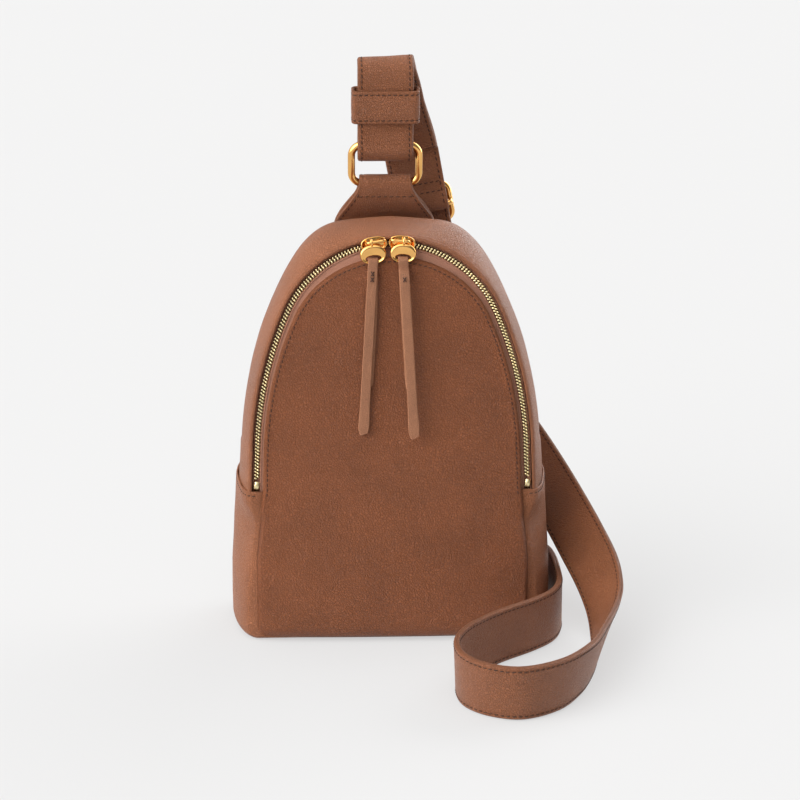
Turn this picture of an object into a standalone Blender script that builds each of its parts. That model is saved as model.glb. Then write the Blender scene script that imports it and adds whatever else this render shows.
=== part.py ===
"""Leather sling bag with a two-way zip round its arched front and one long shoulder strap.

Metres, +Z up. The origin is the centre of the flat base, the bag faces -Y.
"""
import math

import bmesh
import bpy
from mathutils import Vector

MM = 0.001

# Leather and cloth
SKIN = 1.8 * MM
STRAP_THICK = 3.6 * MM
LINING = 0.6 * MM
BOARD = 1.5 * MM
TAPE = 0.6 * MM
GAP = 0.3 * MM

# Front plane: it leans back as it rises; n counts forward from the zip teeth
LEAN = math.radians(2.7)
FRONT_Y = -37.6 * MM
PANEL_N = 4.1 * MM
BACK_Y = 43.0 * MM
BASE_LIFT = 2.5 * MM

# Zip line: a round crown, two long flanks and straight feet
CROWN_V = 179.0 * MM
CROWN_R = 68.7 * MM
SHOULDER = math.radians(66)
FLANK_R = 230.0 * MM
FOOT = math.radians(88)
CROWN_STEPS = 10
FLANK_STEPS = 4
FOOT_STEPS = 4
ZIP_END_V = 98.0 * MM
HINGE_V = 94.5 * MM

# Gussets
LAP_FRONT_Z = 91.0 * MM
LAP_BACK_Z = 101.0 * MM
ZIP_FOLD = 4.7 * MM
BACK_SEAM = 1.5 * MM
FRONT_HALF = 84.3 * MM
BACK_HALF = 86.0 * MM
SIDE_BULGE = 15.2 * MM
TOP_BULGE = 6.7 * MM
BULGE_FULLNESS = 0.85
DEPTH_STEPS = (0.0, 0.05, 0.12, 0.25, 0.42, 0.58, 0.75, 0.88, 0.95, 1.0)

# Zip hardware
TEETH_WIDE = 1.5 * MM
TEETH_THICK = 1.8 * MM
TEETH_OFF = 0.95 * MM
SLIDER_ANGLES = {"left": math.radians(-9.25), "right": math.radians(5.33)}
PIVOT_N = 8.3 * MM
PIVOT_UP = 2.6 * MM
PLATE_LONG = 15.4 * MM
CROWN_BAR = (-3.4 * MM, 7.0 * MM)
CROWN_WIRE = 0.8 * MM
EYE_R = 1.95 * MM
EYE_WIRE = 0.7 * MM
DISC_WIDE = 15.6 * MM
DISC_TALL = 11.6 * MM
DISC_THICK = 2.2 * MM
DISC_TOP = -1.3 * MM
TAB_WIDE = 6.0 * MM
TAB_THICK = 1.1 * MM
TAB_LOOP_R = 2.3 * MM

# Strap and its rings
STRAP_WIDE = 34.5 * MM
STRAP_X = -2.0 * MM
RING_WIDE = 46.6 * MM
RING_TALL = 30.0 * MM
RING_WIRE = 2.3 * MM
RING_CORNER = 7.0 * MM
RING_FOOT = Vector((-2.0, 35.0, 274.0)) * MM
RING_HEAD = Vector((-2.0, 30.0, 298.9)) * MM
FRONT_RUN_LEAN = math.radians(9.8)
KEEPER_WIDE = 37.5 * MM
KEEPER_DEEP = 8.7 * MM
KEEPER_TALL = 21.0 * MM
KEEPER_WALL = 2.2 * MM
KEEPER_AT = Vector((-2.0, 23.3, 324.2)) * MM
ADJUSTER_AT = Vector((21.9, 63.0, 254.5)) * MM
ADJUSTER_TILT = math.radians(-10.4)
ADJUSTER_TALL = 27.0 * MM
ADJUSTER_WIRE = 2.0 * MM
LOWER_RING_AT = Vector((34.8, 51.5, 23.7)) * MM

TAN_LEATHER = ((0.33, 0.14, 0.062), 0.5, 0.0)
PALE_GOLD = ((0.86, 0.63, 0.28), 0.25, 1.0)
ZIP_TAPE = ((0.30, 0.16, 0.10), 0.8, 0.0)
LINING_CLOTH = ((0.45, 0.36, 0.27), 0.85, 0.0)
GREY_BOARD = ((0.20, 0.19, 0.18), 0.9, 0.0)


def clear_scene():
    for old in list(bpy.data.objects):
        bpy.data.objects.remove(old, do_unlink=True)


def collection(name):
    made = bpy.data.collections.new(name)
    bpy.context.scene.collection.children.link(made)
    return made


clear_scene()
PARTS = collection("sling_bag")
CUTTERS = collection("cutters")


def finish(obj, look, smooth=True):
    """Gives the object its own Principled material and links it with the parts."""
    colour, roughness, metallic = look
    mat = bpy.data.materials.new(obj.name + "_finish")
    mat.use_nodes = True
    shader = mat.node_tree.nodes["Principled BSDF"]
    shader.inputs["Base Color"].default_value = (*colour, 1.0)
    shader.inputs["Roughness"].default_value = roughness
    shader.inputs["Metallic"].default_value = metallic
    obj.data.materials.append(mat)
    if smooth and obj.type == "MESH":
        obj.data.shade_smooth()
        obj.data.set_sharp_from_angle(angle=math.radians(35))
    if obj.name not in PARTS.objects:
        PARTS.objects.link(obj)
    return obj


def empty(name, location, rotation=(0, 0, 0), parent=None):
    obj = bpy.data.objects.new(name, None)
    obj.location = location
    obj.rotation_euler = rotation
    obj.parent = parent
    obj.empty_display_size = 0.01
    PARTS.objects.link(obj)
    bpy.context.view_layer.update()
    return obj


def front(x, v, n=0.0):
    """World point of the leaned front plane."""
    y = FRONT_Y + v * math.sin(LEAN) - n * math.cos(LEAN)
    return Vector((x, y, v * math.cos(LEAN) + n * math.sin(LEAN)))


# Outlines

def zip_point(angle, offset=0.0):
    """Point of the zip line where its normal is `angle` from the top, moved outwards."""
    side = -1.0 if angle < 0 else 1.0
    turn = abs(angle)
    crown = min(turn, SHOULDER)
    x = CROWN_R * math.sin(crown)
    v = CROWN_V + CROWN_R * math.cos(crown)
    if turn > SHOULDER:
        x += FLANK_R * (math.sin(turn) - math.sin(SHOULDER))
        v += FLANK_R * (math.cos(turn) - math.cos(SHOULDER))
    return side * (x + offset * math.sin(turn)), v + offset * math.cos(turn)


def foot_point(side, v, offset=0.0):
    """Point of the straight foot of the zip line, which flares slightly as it descends."""
    x, top = zip_point(FOOT, offset)
    return side * (x + (top - v) / math.tan(FOOT)), v


def half_arch(side, offset, bottom):
    """One side of an arch, from its bottom end up to just before the top."""
    points = []
    knee = zip_point(FOOT, offset(FOOT, 0.0))[1]
    for i in range(FOOT_STEPS):
        v = bottom + (knee - bottom) * i / FOOT_STEPS
        points.append(foot_point(side, v, offset(FOOT, v)))
    for i in range(FLANK_STEPS):
        angle = FOOT + (SHOULDER - FOOT) * i / FLANK_STEPS
        points.append(zip_point(side * angle, offset(angle, 0.0)))
    for i in range(CROWN_STEPS):
        angle = SHOULDER * (1 - i / CROWN_STEPS)
        points.append(zip_point(side * angle, offset(angle, 0.0)))
    return points


def arch(offset, bottom):
    """Arch from the left foot over the top to the right foot, as (x, v) pairs."""
    if not callable(offset):
        fixed = offset

        def offset(angle, v):
            return fixed
    left = half_arch(-1.0, offset, bottom)
    right = half_arch(1.0, offset, bottom)
    return left + [zip_point(0.0, offset(0.0, 0.0))] + right[::-1]


def panel_gap(angle, v):
    """Room between the teeth and the front panel's edge: widest at the top."""
    return -(4.0 + 3.5 * math.cos(angle) ** 2) * MM


def rounded_box(wide, tall, corner, steps=4, centre=(0.0, 0.0)):
    """Outline of a rectangle with round corners, anticlockwise."""
    points = []
    for quarter in range(4):
        cx = centre[0] + (wide / 2 - corner) * (1 if quarter in (0, 3) else -1)
        cy = centre[1] + (tall / 2 - corner) * (1 if quarter in (0, 1) else -1)
        for i in range(steps + 1):
            angle = math.radians(90) * (quarter + i / steps)
            points.append((cx + corner * math.cos(angle), cy + corner * math.sin(angle)))
    return points


def smooth(stations, steps):
    """Catmull-Rom curve through lists of numbers, with `steps` spans between stations."""
    ends = [stations[0], *stations, stations[-1]]
    made = []
    for a, b, c, d in zip(ends, ends[1:], ends[2:], ends[3:]):
        for i in range(steps):
            t = i / steps
            made.append([0.5 * (2 * q + (r - p) * t + (2 * p - 5 * q + 4 * r - s) * t * t
                                + (3 * q - p - 3 * r + s) * t ** 3)
                         for p, q, r, s in zip(a, b, c, d)])
    return made + [list(stations[-1])]


# Solids

def plate(name, outlines, thickness, parent, level, look):
    """Flat sheet: outlines filled in the parent's XY plane, centred on local z = level."""
    curve = bpy.data.curves.new(name, "CURVE")
    curve.dimensions = "2D"
    curve.fill_mode = "BOTH"
    curve.extrude = thickness / 2
    for outline in outlines:
        spline = curve.splines.new("POLY")
        spline.points.add(len(outline) - 1)
        for point, (x, y) in zip(spline.points, outline):
            point.co = (x, y, 0.0, 1.0)
        spline.use_cyclic_u = True
    obj = bpy.data.objects.new(name, curve)
    obj.parent = parent
    obj.location = (0.0, 0.0, level)
    return finish(obj, look)


def loft(name, rows, thickness, side, look):
    """Sheet lofted through rows of world points; side 1 grows along its normals, 0 both ways."""
    mesh = bpy.data.meshes.new(name)
    bm = bmesh.new()
    grid = [[bm.verts.new(p) for p in row] for row in rows]
    for low, high in zip(grid, grid[1:]):
        for i in range(len(low) - 1):
            bm.faces.new((low[i], high[i], high[i + 1], low[i + 1]))
    bm.to_mesh(mesh)
    bm.free()
    obj = bpy.data.objects.new(name, mesh)
    solid = obj.modifiers.new("Solidify", "SOLIDIFY")
    solid.thickness = thickness
    solid.offset = side
    solid.use_even_offset = True
    return finish(obj, look)


def ribbon(name, stations, thickness, look, steps=3):
    """Flat band: each station is centre x, y, z, width direction x, y, z and half width."""
    near, far = [], []
    for x, y, z, wx, wy, wz, half in smooth(stations, steps):
        across = Vector((wx, wy, wz)).normalized() * half
        near.append(Vector((x, y, z)) - across)
        far.append(Vector((x, y, z)) + across)
    return loft(name, [near, far], thickness, 0, look)


def tube(name, points, radius, cyclic=False, resolution=2):
    """Round wire along world points, as a mesh with closed ends."""
    curve = bpy.data.curves.new(name, "CURVE")
    curve.dimensions = "3D"
    curve.bevel_depth = radius
    curve.bevel_resolution = resolution
    curve.use_fill_caps = not cyclic
    spline = curve.splines.new("POLY")
    spline.points.add(len(points) - 1)
    for point, place in zip(spline.points, points):
        point.co = (*place, 1.0)
    spline.use_cyclic_u = cyclic
    wire = bpy.data.objects.new(name + "_wire", curve)
    PARTS.objects.link(wire)
    bpy.context.view_layer.update()
    shape = wire.evaluated_get(bpy.context.evaluated_depsgraph_get())
    mesh = bpy.data.meshes.new_from_object(shape)
    bpy.data.objects.remove(wire)
    bm = bmesh.new()
    bm.from_mesh(mesh)
    bmesh.ops.remove_doubles(bm, verts=bm.verts, dist=0.01 * MM)
    bm.to_mesh(mesh)
    bm.free()
    mesh.name = name
    return bpy.data.objects.new(name, mesh)


def block(name, size, centre=(0, 0, 0)):
    """Box mesh, centred in its object's own frame."""
    mesh = bpy.data.meshes.new(name)
    bm = bmesh.new()
    bmesh.ops.create_cube(bm, size=1.0)
    bmesh.ops.scale(bm, vec=size, verts=bm.verts)
    bmesh.ops.translate(bm, vec=centre, verts=bm.verts)
    bm.to_mesh(mesh)
    bm.free()
    return bpy.data.objects.new(name, mesh)


def boolean(obj, tool, operation):
    """Adds or cuts `tool`, which stays with the cutters."""
    tool.hide_render = True
    tool.display_type = "WIRE"
    if tool.name not in CUTTERS.objects:
        CUTTERS.objects.link(tool)
    cut = obj.modifiers.new(operation.title(), "BOOLEAN")
    cut.operation = operation
    cut.solver = "EXACT"
    cut.object = tool


# The bag's shell

FRONT_PLANE = empty("front_plane", (0.0, FRONT_Y, 0.0), (math.pi / 2 - LEAN, 0.0, 0.0))
BACK_PLANE = empty("back_plane", (0.0, BACK_Y, 0.0), (math.pi / 2, 0.0, 0.0))


def base_outline(inset, bottom, top):
    """Outline of the panel below the opening: straight sides and small round corners."""
    corner = 6.0 * MM
    half = FRONT_HALF - inset
    foot, _ = foot_point(1.0, top, panel_gap(FOOT, top) - inset)
    right = [(foot, top), (half, 50 * MM)]
    for i in range(5):
        angle = math.radians(-90 * i / 4)
        right.append((half - corner + corner * math.cos(angle),
                      bottom + corner + corner * math.sin(angle)))
    return right + [(-x, y) for x, y in right[::-1]]


def front_panels():
    base = base_outline(0.0, BASE_LIFT, HINGE_V - GAP)
    plate("front_panel", [base], SKIN, FRONT_PLANE, PANEL_N, TAN_LEATHER)
    plate("front_lining", [base_outline(3 * MM, 8 * MM, HINGE_V - 2 * MM)], LINING,
          FRONT_PLANE, PANEL_N - 2.2 * MM, LINING_CLOTH)
    hinge = empty("flap_hinge", (0.0, HINGE_V, PANEL_N + SKIN / 2), parent=FRONT_PLANE)
    drop = -(PANEL_N + SKIN / 2)
    for name, gap, bottom, thick, n, look in (
            ("front_flap", 0.0, HINGE_V, SKIN, PANEL_N, TAN_LEATHER),
            ("flap_lining", 3 * MM, HINGE_V + 1.5 * MM, LINING, -0.6 * MM, LINING_CLOTH)):
        outline = arch(lambda a, v, g=gap: panel_gap(a, v) - g, bottom)
        outline = [(x, v - HINGE_V) for x, v in outline]
        plate(name, [outline], thick, hinge, drop + n, look)


def back_panels():
    outline = arch(BACK_SEAM - 3 * MM, 60 * MM)
    corner = 10 * MM
    side = []
    for i in range(5):
        angle = math.radians(90 * i / 4)
        side.append((BACK_HALF - corner * (1 - math.cos(angle)) - 1 * MM,
                     BASE_LIFT + corner * (1 - math.sin(angle))))
    outline += side + [(-x, v) for x, v in side[::-1]]
    plate("back_panel", [outline], SKIN, BACK_PLANE, SKIN / 2, TAN_LEATHER)
    inner = arch(BACK_SEAM - 8 * MM, 60 * MM) + [(78 * MM, 10 * MM), (-78 * MM, 10 * MM)]
    plate("back_lining", [inner], LINING, BACK_PLANE, SKIN + 1.2 * MM, LINING_CLOTH)
    pocket = rounded_box(124 * MM, 96 * MM, 8 * MM, centre=(0.0, 92 * MM))
    plate("slip_pocket", [pocket], LINING, BACK_PLANE, SKIN + 2.4 * MM, LINING_CLOTH)


def swell(u):
    """Share of the gusset's bulge at depth u, 0 at the front seam and 1 at the back."""
    return math.sin(math.pi * u) ** BULGE_FULLNESS if 0 < u < 1 else 0.0


def crest_height(angle, v):
    """How far the upper gusset stands out of its seams: least at the shoulders."""
    low = max(0.0, 150 * MM - (v or 200 * MM)) / (70 * MM)
    shoulder = 4.0 * math.exp(-((abs(angle) - math.radians(52)) / math.radians(16)) ** 2)
    flank = 0.9 * max(0.0, abs(angle) - math.radians(66)) / math.radians(22)
    square = 3.6 * math.exp(-((abs(angle) - math.radians(27)) / math.radians(12)) ** 2)
    return TOP_BULGE + (2.0 * low ** 1.3 + flank + square - shoulder) * MM


def upper_hoop(u, inset, lap):
    """Hoop of the upper gusset at depth u, from its left lap over the top to the right."""
    def offset(angle, v):
        crest = crest_height(angle, v)
        return ZIP_FOLD + (BACK_SEAM - ZIP_FOLD) * u + crest * swell(u) - inset
    bottom = LAP_FRONT_Z + (LAP_BACK_Z - LAP_FRONT_Z) * u + lap
    back_y = BACK_Y - SKIN - 2 * GAP
    hoop = []
    for x, v in arch(offset, bottom):
        start = front(x, v, PANEL_N - SKIN / 2 - GAP)
        hoop.append(Vector((x, start.y + (back_y - start.y) * u, start.z + (v - start.z) * u)))
    return hoop


def narrowing(v):
    """How much the lower gusset draws in on each side towards the lap."""
    return 3.5 * MM * max(0.0, v - 42 * MM) / (50 * MM)


def lower_hoop(u, inset, lap):
    """Hoop of the lower gusset at depth u: down the left side, under the bag and up."""
    half = FRONT_HALF + (BACK_HALF - FRONT_HALF) * u + SIDE_BULGE * swell(u) - inset
    corner = (8 + 12 * swell(u)) * MM - inset * 0.5
    edge = max(0.0, 1 - u / 0.12, 1 - (1 - u) / 0.12)
    floor = BASE_LIFT * edge ** 2 + inset
    top = LAP_FRONT_Z + (LAP_BACK_Z - LAP_FRONT_Z) * u - lap
    left = []
    for share in (0.0, 0.3, 0.65):
        v = top + (floor + corner - top) * share
        left.append((narrowing(v) - half, v))
    for i in range(7):
        angle = math.radians(180 + 90 * i / 6)
        left.append((-half + corner + corner * math.cos(angle),
                     floor + corner + corner * math.sin(angle)))
    left.append((-half / 2, floor))
    back_y = BACK_Y - SKIN - 2 * GAP
    hoop = []
    for x, v in left + [(0.0, floor)] + [(-x, v) for x, v in left[::-1]]:
        start = front(x, v, PANEL_N - SKIN / 2 - GAP)
        hoop.append(Vector((x, start.y + (back_y - start.y) * u, start.z + (v - start.z) * u)))
    return hoop


def gussets():
    loft("upper_gusset", [upper_hoop(u, 0.0, 0.0) for u in DEPTH_STEPS], SKIN, 1, TAN_LEATHER)
    loft("lower_gusset", [lower_hoop(u, 0.0, 0.5 * MM) for u in DEPTH_STEPS], SKIN, -1,
         TAN_LEATHER)
    inner = [0.15 + 0.78 * i / 6 for i in range(7)]
    loft("upper_lining", [upper_hoop(u, 3.9 * MM, 0.0) for u in inner], LINING, 1,
         LINING_CLOTH)
    loft("lower_lining", [lower_hoop(u, 5.5 * MM, 0.5 * MM) for u in inner], LINING, -1,
         LINING_CLOTH)
    board = block("base_board", (150 * MM, 62 * MM, BOARD), (0, 2 * MM, SKIN + 0.5 * MM + BOARD))
    board.modifiers.new("Bevel", "BEVEL").width = 0.3 * MM
    finish(board, GREY_BOARD)


# The zip

def zip_strip(name, inner, outer, bottom, thickness, look):
    """Band along the zip between two (offset, n) edges."""
    rows = []
    for offset, n in (inner, outer):
        rows.append([front(x, v, n) for x, v in arch(offset, bottom)])
    return loft(name, rows, thickness, 0, look)


def zip_fastener():
    side = TEETH_WIDE / 2
    zip_strip("teeth_outer", (TEETH_OFF - side, 0.0), (TEETH_OFF + side, 0.0),
              ZIP_END_V + 3 * MM, TEETH_THICK, PALE_GOLD)
    zip_strip("teeth_inner", (-TEETH_OFF - side, 0.0), (-TEETH_OFF + side, 0.0),
              ZIP_END_V + 3 * MM, TEETH_THICK, PALE_GOLD)
    edge = TEETH_OFF + side + 0.6 * MM
    zip_strip("zip_tape_outer", (edge, -0.2 * MM), (edge + 0.8 * MM, -4.6 * MM),
              LAP_FRONT_Z + 4 * MM, TAPE, ZIP_TAPE)
    zip_strip("zip_tape_inner", (-9.0 * MM, 2.4 * MM), (-edge, 0.0), HINGE_V + 1.5 * MM, TAPE,
              ZIP_TAPE)
    for name, sign in (("zip_stop_left", -1.0), ("zip_stop_right", 1.0)):
        x, v = foot_point(sign, ZIP_END_V)
        stop = block(name, (3.2 * MM, 4.6 * MM, 2.6 * MM))
        stop.modifiers.new("Bevel", "BEVEL").width = 0.5 * MM
        stop.parent = FRONT_PLANE
        stop.location = (x + 0.2 * MM * sign, v, 0.0)
        finish(stop, PALE_GOLD)


def pull_disc(name, pivot):
    """Oval disc with a half-moon slot near its foot and an eye at its top round the bar."""
    mesh = bpy.data.meshes.new(name)
    bm = bmesh.new()
    bmesh.ops.create_cone(bm, cap_ends=True, segments=32, radius1=0.5, radius2=0.5, depth=1.0)
    bmesh.ops.scale(bm, vec=(DISC_WIDE, DISC_TALL, DISC_THICK), verts=bm.verts)
    bmesh.ops.translate(bm, vec=(0, DISC_TOP - DISC_TALL / 2, 0), verts=bm.verts)
    bm.to_mesh(mesh)
    bm.free()
    disc = bpy.data.objects.new(name, mesh)
    disc.modifiers.new("Bevel", "BEVEL").width = 0.4 * MM
    slot = block(name + "_tab_slot", (8.0 * MM, 2.6 * MM, 10 * MM),
                 (0, DISC_TOP - DISC_TALL + 3.3 * MM, 0))
    circle = [(0.0, EYE_R * math.cos(math.radians(18 * i)), EYE_R * math.sin(math.radians(18 * i)))
              for i in range(20)]
    eye = tube(name + "_eye", circle, EYE_WIRE, cyclic=True)
    for piece, operation in ((slot, "DIFFERENCE"), (eye, "UNION")):
        piece.parent = pivot
        boolean(disc, piece, operation)
    disc.parent = pivot
    return finish(disc, PALE_GOLD)


def pull_tab(name, pivot, reach, drift, fall, short):
    """Thong folded over the disc's lower rim; its two plies hang side by side.

    fall holds the level n of the front ply at its middle and end, drift its sideways
    slope, short how much less the hidden ply reaches.
    """
    loop = TAB_LOOP_R
    mid_n, end_n = fall
    ply = TAB_THICK + GAP
    half = TAB_WIDE / 2

    def at(v, n, wide=half):
        return (drift * -v, v, n, 1.0, 0.0, 0.0, wide)

    front_ply = [at(0.0, loop), at(-5 * MM, loop * 0.8), at(-12 * MM, mid_n),
                 at(-reach * 0.5, (mid_n + end_n) / 2), at(-reach + 9 * MM, end_n, half * 1.15),
                 at(-reach, end_n, half * 0.35)]
    back_end = -reach + short
    back_ply = [at(back_end, end_n - ply, half), at(-reach * 0.5, (mid_n + end_n) / 2 - ply),
                at(-12 * MM, mid_n - ply), at(-5 * MM, -loop * 0.8), at(0.0, -loop)]
    over = [at(loop * 0.72, -loop * 0.72), at(loop, 0.0), at(loop * 0.72, loop * 0.72)]
    near, far = [], []
    for x, v, n, _, _, _, wide in smooth(back_ply + over + front_ply, 2):
        near.append(Vector((x - wide, v, n)))
        far.append(Vector((x + wide, v, n)))
    tab = loft(name, [near, far], TAB_THICK, 0, TAN_LEATHER)
    tab.parent = pivot
    return tab


def crown_bar(name, inward):
    """Bar along the zip that the pull hangs on, with a foot at each end."""
    outer, inner = CROWN_BAR
    rise = PIVOT_N - 1.2 * MM
    path = [(outer, 3.8 * MM), (outer, rise), (outer + 1.2 * MM, PIVOT_N),
            (inner - 1.2 * MM, PIVOT_N), (inner, rise), (inner, 3.8 * MM)]
    return tube(name, [(x * inward, CROWN_R + PIVOT_UP, n) for x, n in path], CROWN_WIRE)


def sliders():
    """Two sliders that meet near the top, each with its disc and leather tab."""
    crown = empty("crown_axis", (0.0, CROWN_V, 0.0), parent=FRONT_PLANE)
    for hand, angle in SLIDER_ANGLES.items():
        inward = 1.0 if hand == "left" else -1.0
        turn = empty("slider_axis_" + hand, (0, 0, 0), (0, 0, -angle), parent=crown)
        body = block("slider_" + hand, (PLATE_LONG, 8.6 * MM, 1.2 * MM),
                     (0.4 * MM * inward, CROWN_R + 0.8 * MM, 3.9 * MM))
        neck = block("slider_neck_" + hand, (9.0 * MM, 4.6 * MM, 2.2 * MM),
                     (0, CROWN_R, 2.3 * MM))
        for piece in (neck, crown_bar("slider_bar_" + hand, inward)):
            piece.parent = turn
            boolean(body, piece, "UNION")
        body.parent = turn
        finish(body, PALE_GOLD)
        x, v = zip_point(angle, PIVOT_UP)
        pivot = empty("pull_pivot_" + hand, (x, v, PIVOT_N), parent=FRONT_PLANE)
        pull_disc("pull_" + hand, pivot)
        hook = empty("tab_pivot_" + hand, (0, DISC_TOP - DISC_TALL + 1.0 * MM, 0), parent=pivot)
        if hand == "left":
            pull_tab("tab_left", hook, 105.7 * MM, -0.06, (2.6 * MM, 1.4 * MM), 32 * MM)
        else:
            pull_tab("tab_right", hook, 106.7 * MM, 0.06, (6.4 * MM, 7.4 * MM), 32 * MM)


# The strap and its hardware

def ring_path(wide, tall, corner):
    return rounded_box(wide - 2 * RING_WIRE, tall - 2 * RING_WIRE, corner, steps=5)


def top_ring():
    """Ring held by the chape at its lower limb; its origin is on that limb's axis."""
    reach = (RING_HEAD - RING_FOOT).length
    lean = math.atan2(RING_FOOT.y - RING_HEAD.y, RING_HEAD.z - RING_FOOT.z)
    swing = empty("ring_axis", RING_FOOT, (math.pi / 2 + lean, 0, 0))
    path = [(x, y + reach / 2, 0.0) for x, y in ring_path(RING_WIDE, RING_TALL, RING_CORNER)]
    ring = tube("top_ring", path, RING_WIRE, cyclic=True)
    ring.parent = swing
    finish(ring, PALE_GOLD)


def top_chape():
    """Leather loop round the ring's lower limb, flaring down to the back panel."""
    x = STRAP_X / MM
    profile = [(44.35, 234, 33.5), (44.35, 247, 32), (42.6, 255.0, 28.6), (37.2, 262.5, 23.4),
               (31.2, 268.6, 18.8), (30.3, 274.5, 16.5), (35.0, 278.6, 16.2),
               (39.7, 274.0, 16.5), (40.8, 268.0, 18.8), (43.6, 261.0, 24.2),
               (46.6, 254.0, 29), (47.0, 247, 32), (47.0, 234, 33.5)]
    stations = [(x * MM, y * MM, z * MM, 1, 0, 0, half * MM) for y, z, half in profile]
    ribbon("top_chape", stations, 2.2 * MM, TAN_LEATHER)


def strap_loop():
    """Upper strap: up from the adjuster, over, round the ring and back up inside itself."""
    side = 0.227
    path = [
        (24.6, 63.0, 240.0, side), (21.9, 63.0, 254.5, side), (17.0, 63.0, 281.0, side),
        (13.4, 59.4, 298.0, side), (6.6, 48.7, 319.0, side), (2.0, 38.8, 336.0, 0.18),
        (-0.8, 31.5, 347.6, 0.1), (-2.0, 24.4, 352.2, 0.04), (-2.0, 17.9, 347.0, 0.0),
        (-2.0, 19.0, 336.0, 0.0), (-2.0, 21.9, 320.0, 0.0), (-2.0, 25.0, 302.0, 0.0),
        (-2.0, 26.0, 294.5, 0.0), (-2.0, 30.2, 290.3, 0.0), (-2.0, 34.4, 294.5, 0.0),
        (-2.0, 34.0, 301.0, 0.0), (-2.0, 29.5, 308.0, 0.0), (-2.0, 27.2, 314.5, 0.0),
        (-2.0, 24.2, 333.0, 0.0), (-2.0, 22.4, 343.0, 0.0), (-1.7, 25.0, 347.4, 0.04),
        (0.2, 29.6, 342.2, 0.12), (3.6, 36.6, 331.0, 0.2), (6.8, 43.9, 317.8, side),
        (12.8, 54.0, 298.0, side), (14.5, 56.6, 291.0, side)]
    stations = [(x * MM, y * MM, z * MM, 1.0, 0.0, tilt, STRAP_WIDE / 2)
                for x, y, z, tilt in path]
    ribbon("strap_loop", stations, STRAP_THICK, TAN_LEATHER)


def keeper():
    """Leather band round both layers of the front run."""
    run = empty("front_run", KEEPER_AT, (FRONT_RUN_LEAN, 0, 0))
    outer = rounded_box(KEEPER_WIDE + 2 * KEEPER_WALL, KEEPER_DEEP + 2 * KEEPER_WALL, 3 * MM)
    inner = rounded_box(KEEPER_WIDE, KEEPER_DEEP, 1 * MM)
    plate("keeper", [outer, inner], KEEPER_TALL, run, 0.0, TAN_LEATHER)


def adjuster():
    """Rectangular slide: end bars behind the strap, the sewn bar in front of it."""
    run = empty("back_run", ADJUSTER_AT, (0, ADJUSTER_TILT, 0))
    behind = STRAP_THICK / 2 + 0.4 * MM + ADJUSTER_WIRE
    sewn = -6.0 * MM
    wire = 1.6 * MM
    outline = rounded_box(RING_WIDE - 2 * ADJUSTER_WIRE, ADJUSTER_TALL - 2 * ADJUSTER_WIRE,
                          5 * MM)
    frame = tube("adjuster", [(x, behind, z) for x, z in outline], ADJUSTER_WIRE, cyclic=True)
    side = RING_WIDE / 2 - ADJUSTER_WIRE
    bar = tube("adjuster_bar", [(-side, behind, 0), (-side, sewn + 1.2 * MM, 0),
                                (-side + 1.2 * MM, sewn, 0), (side - 1.2 * MM, sewn, 0),
                                (side, sewn + 1.2 * MM, 0), (side, behind, 0)], wire)
    bar.parent = run
    boolean(frame, bar, "UNION")
    frame.parent = run
    finish(frame, PALE_GOLD)
    path = [(-3.1, 18.0), (-3.1, 8.0), (-3.1, 0.5), (-3.95, -2.05), (-6.0, -2.9), (-8.05, -2.05),
            (-8.9, 0.5), (-8.2, 4.5), (-5.9, 10.0), (-5.2, 14.0), (-5.2, 18.0)]
    half = STRAP_WIDE / 2
    near = [Vector((-half, y * MM, z * MM)) for y, z in smooth(path, 2)]
    far = [p + Vector((2 * half, 0, 0)) for p in near]
    sewn_end = loft("strap_end_fold", [near, far], 1.8 * MM, 0, TAN_LEATHER)
    sewn_end.parent = run


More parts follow.
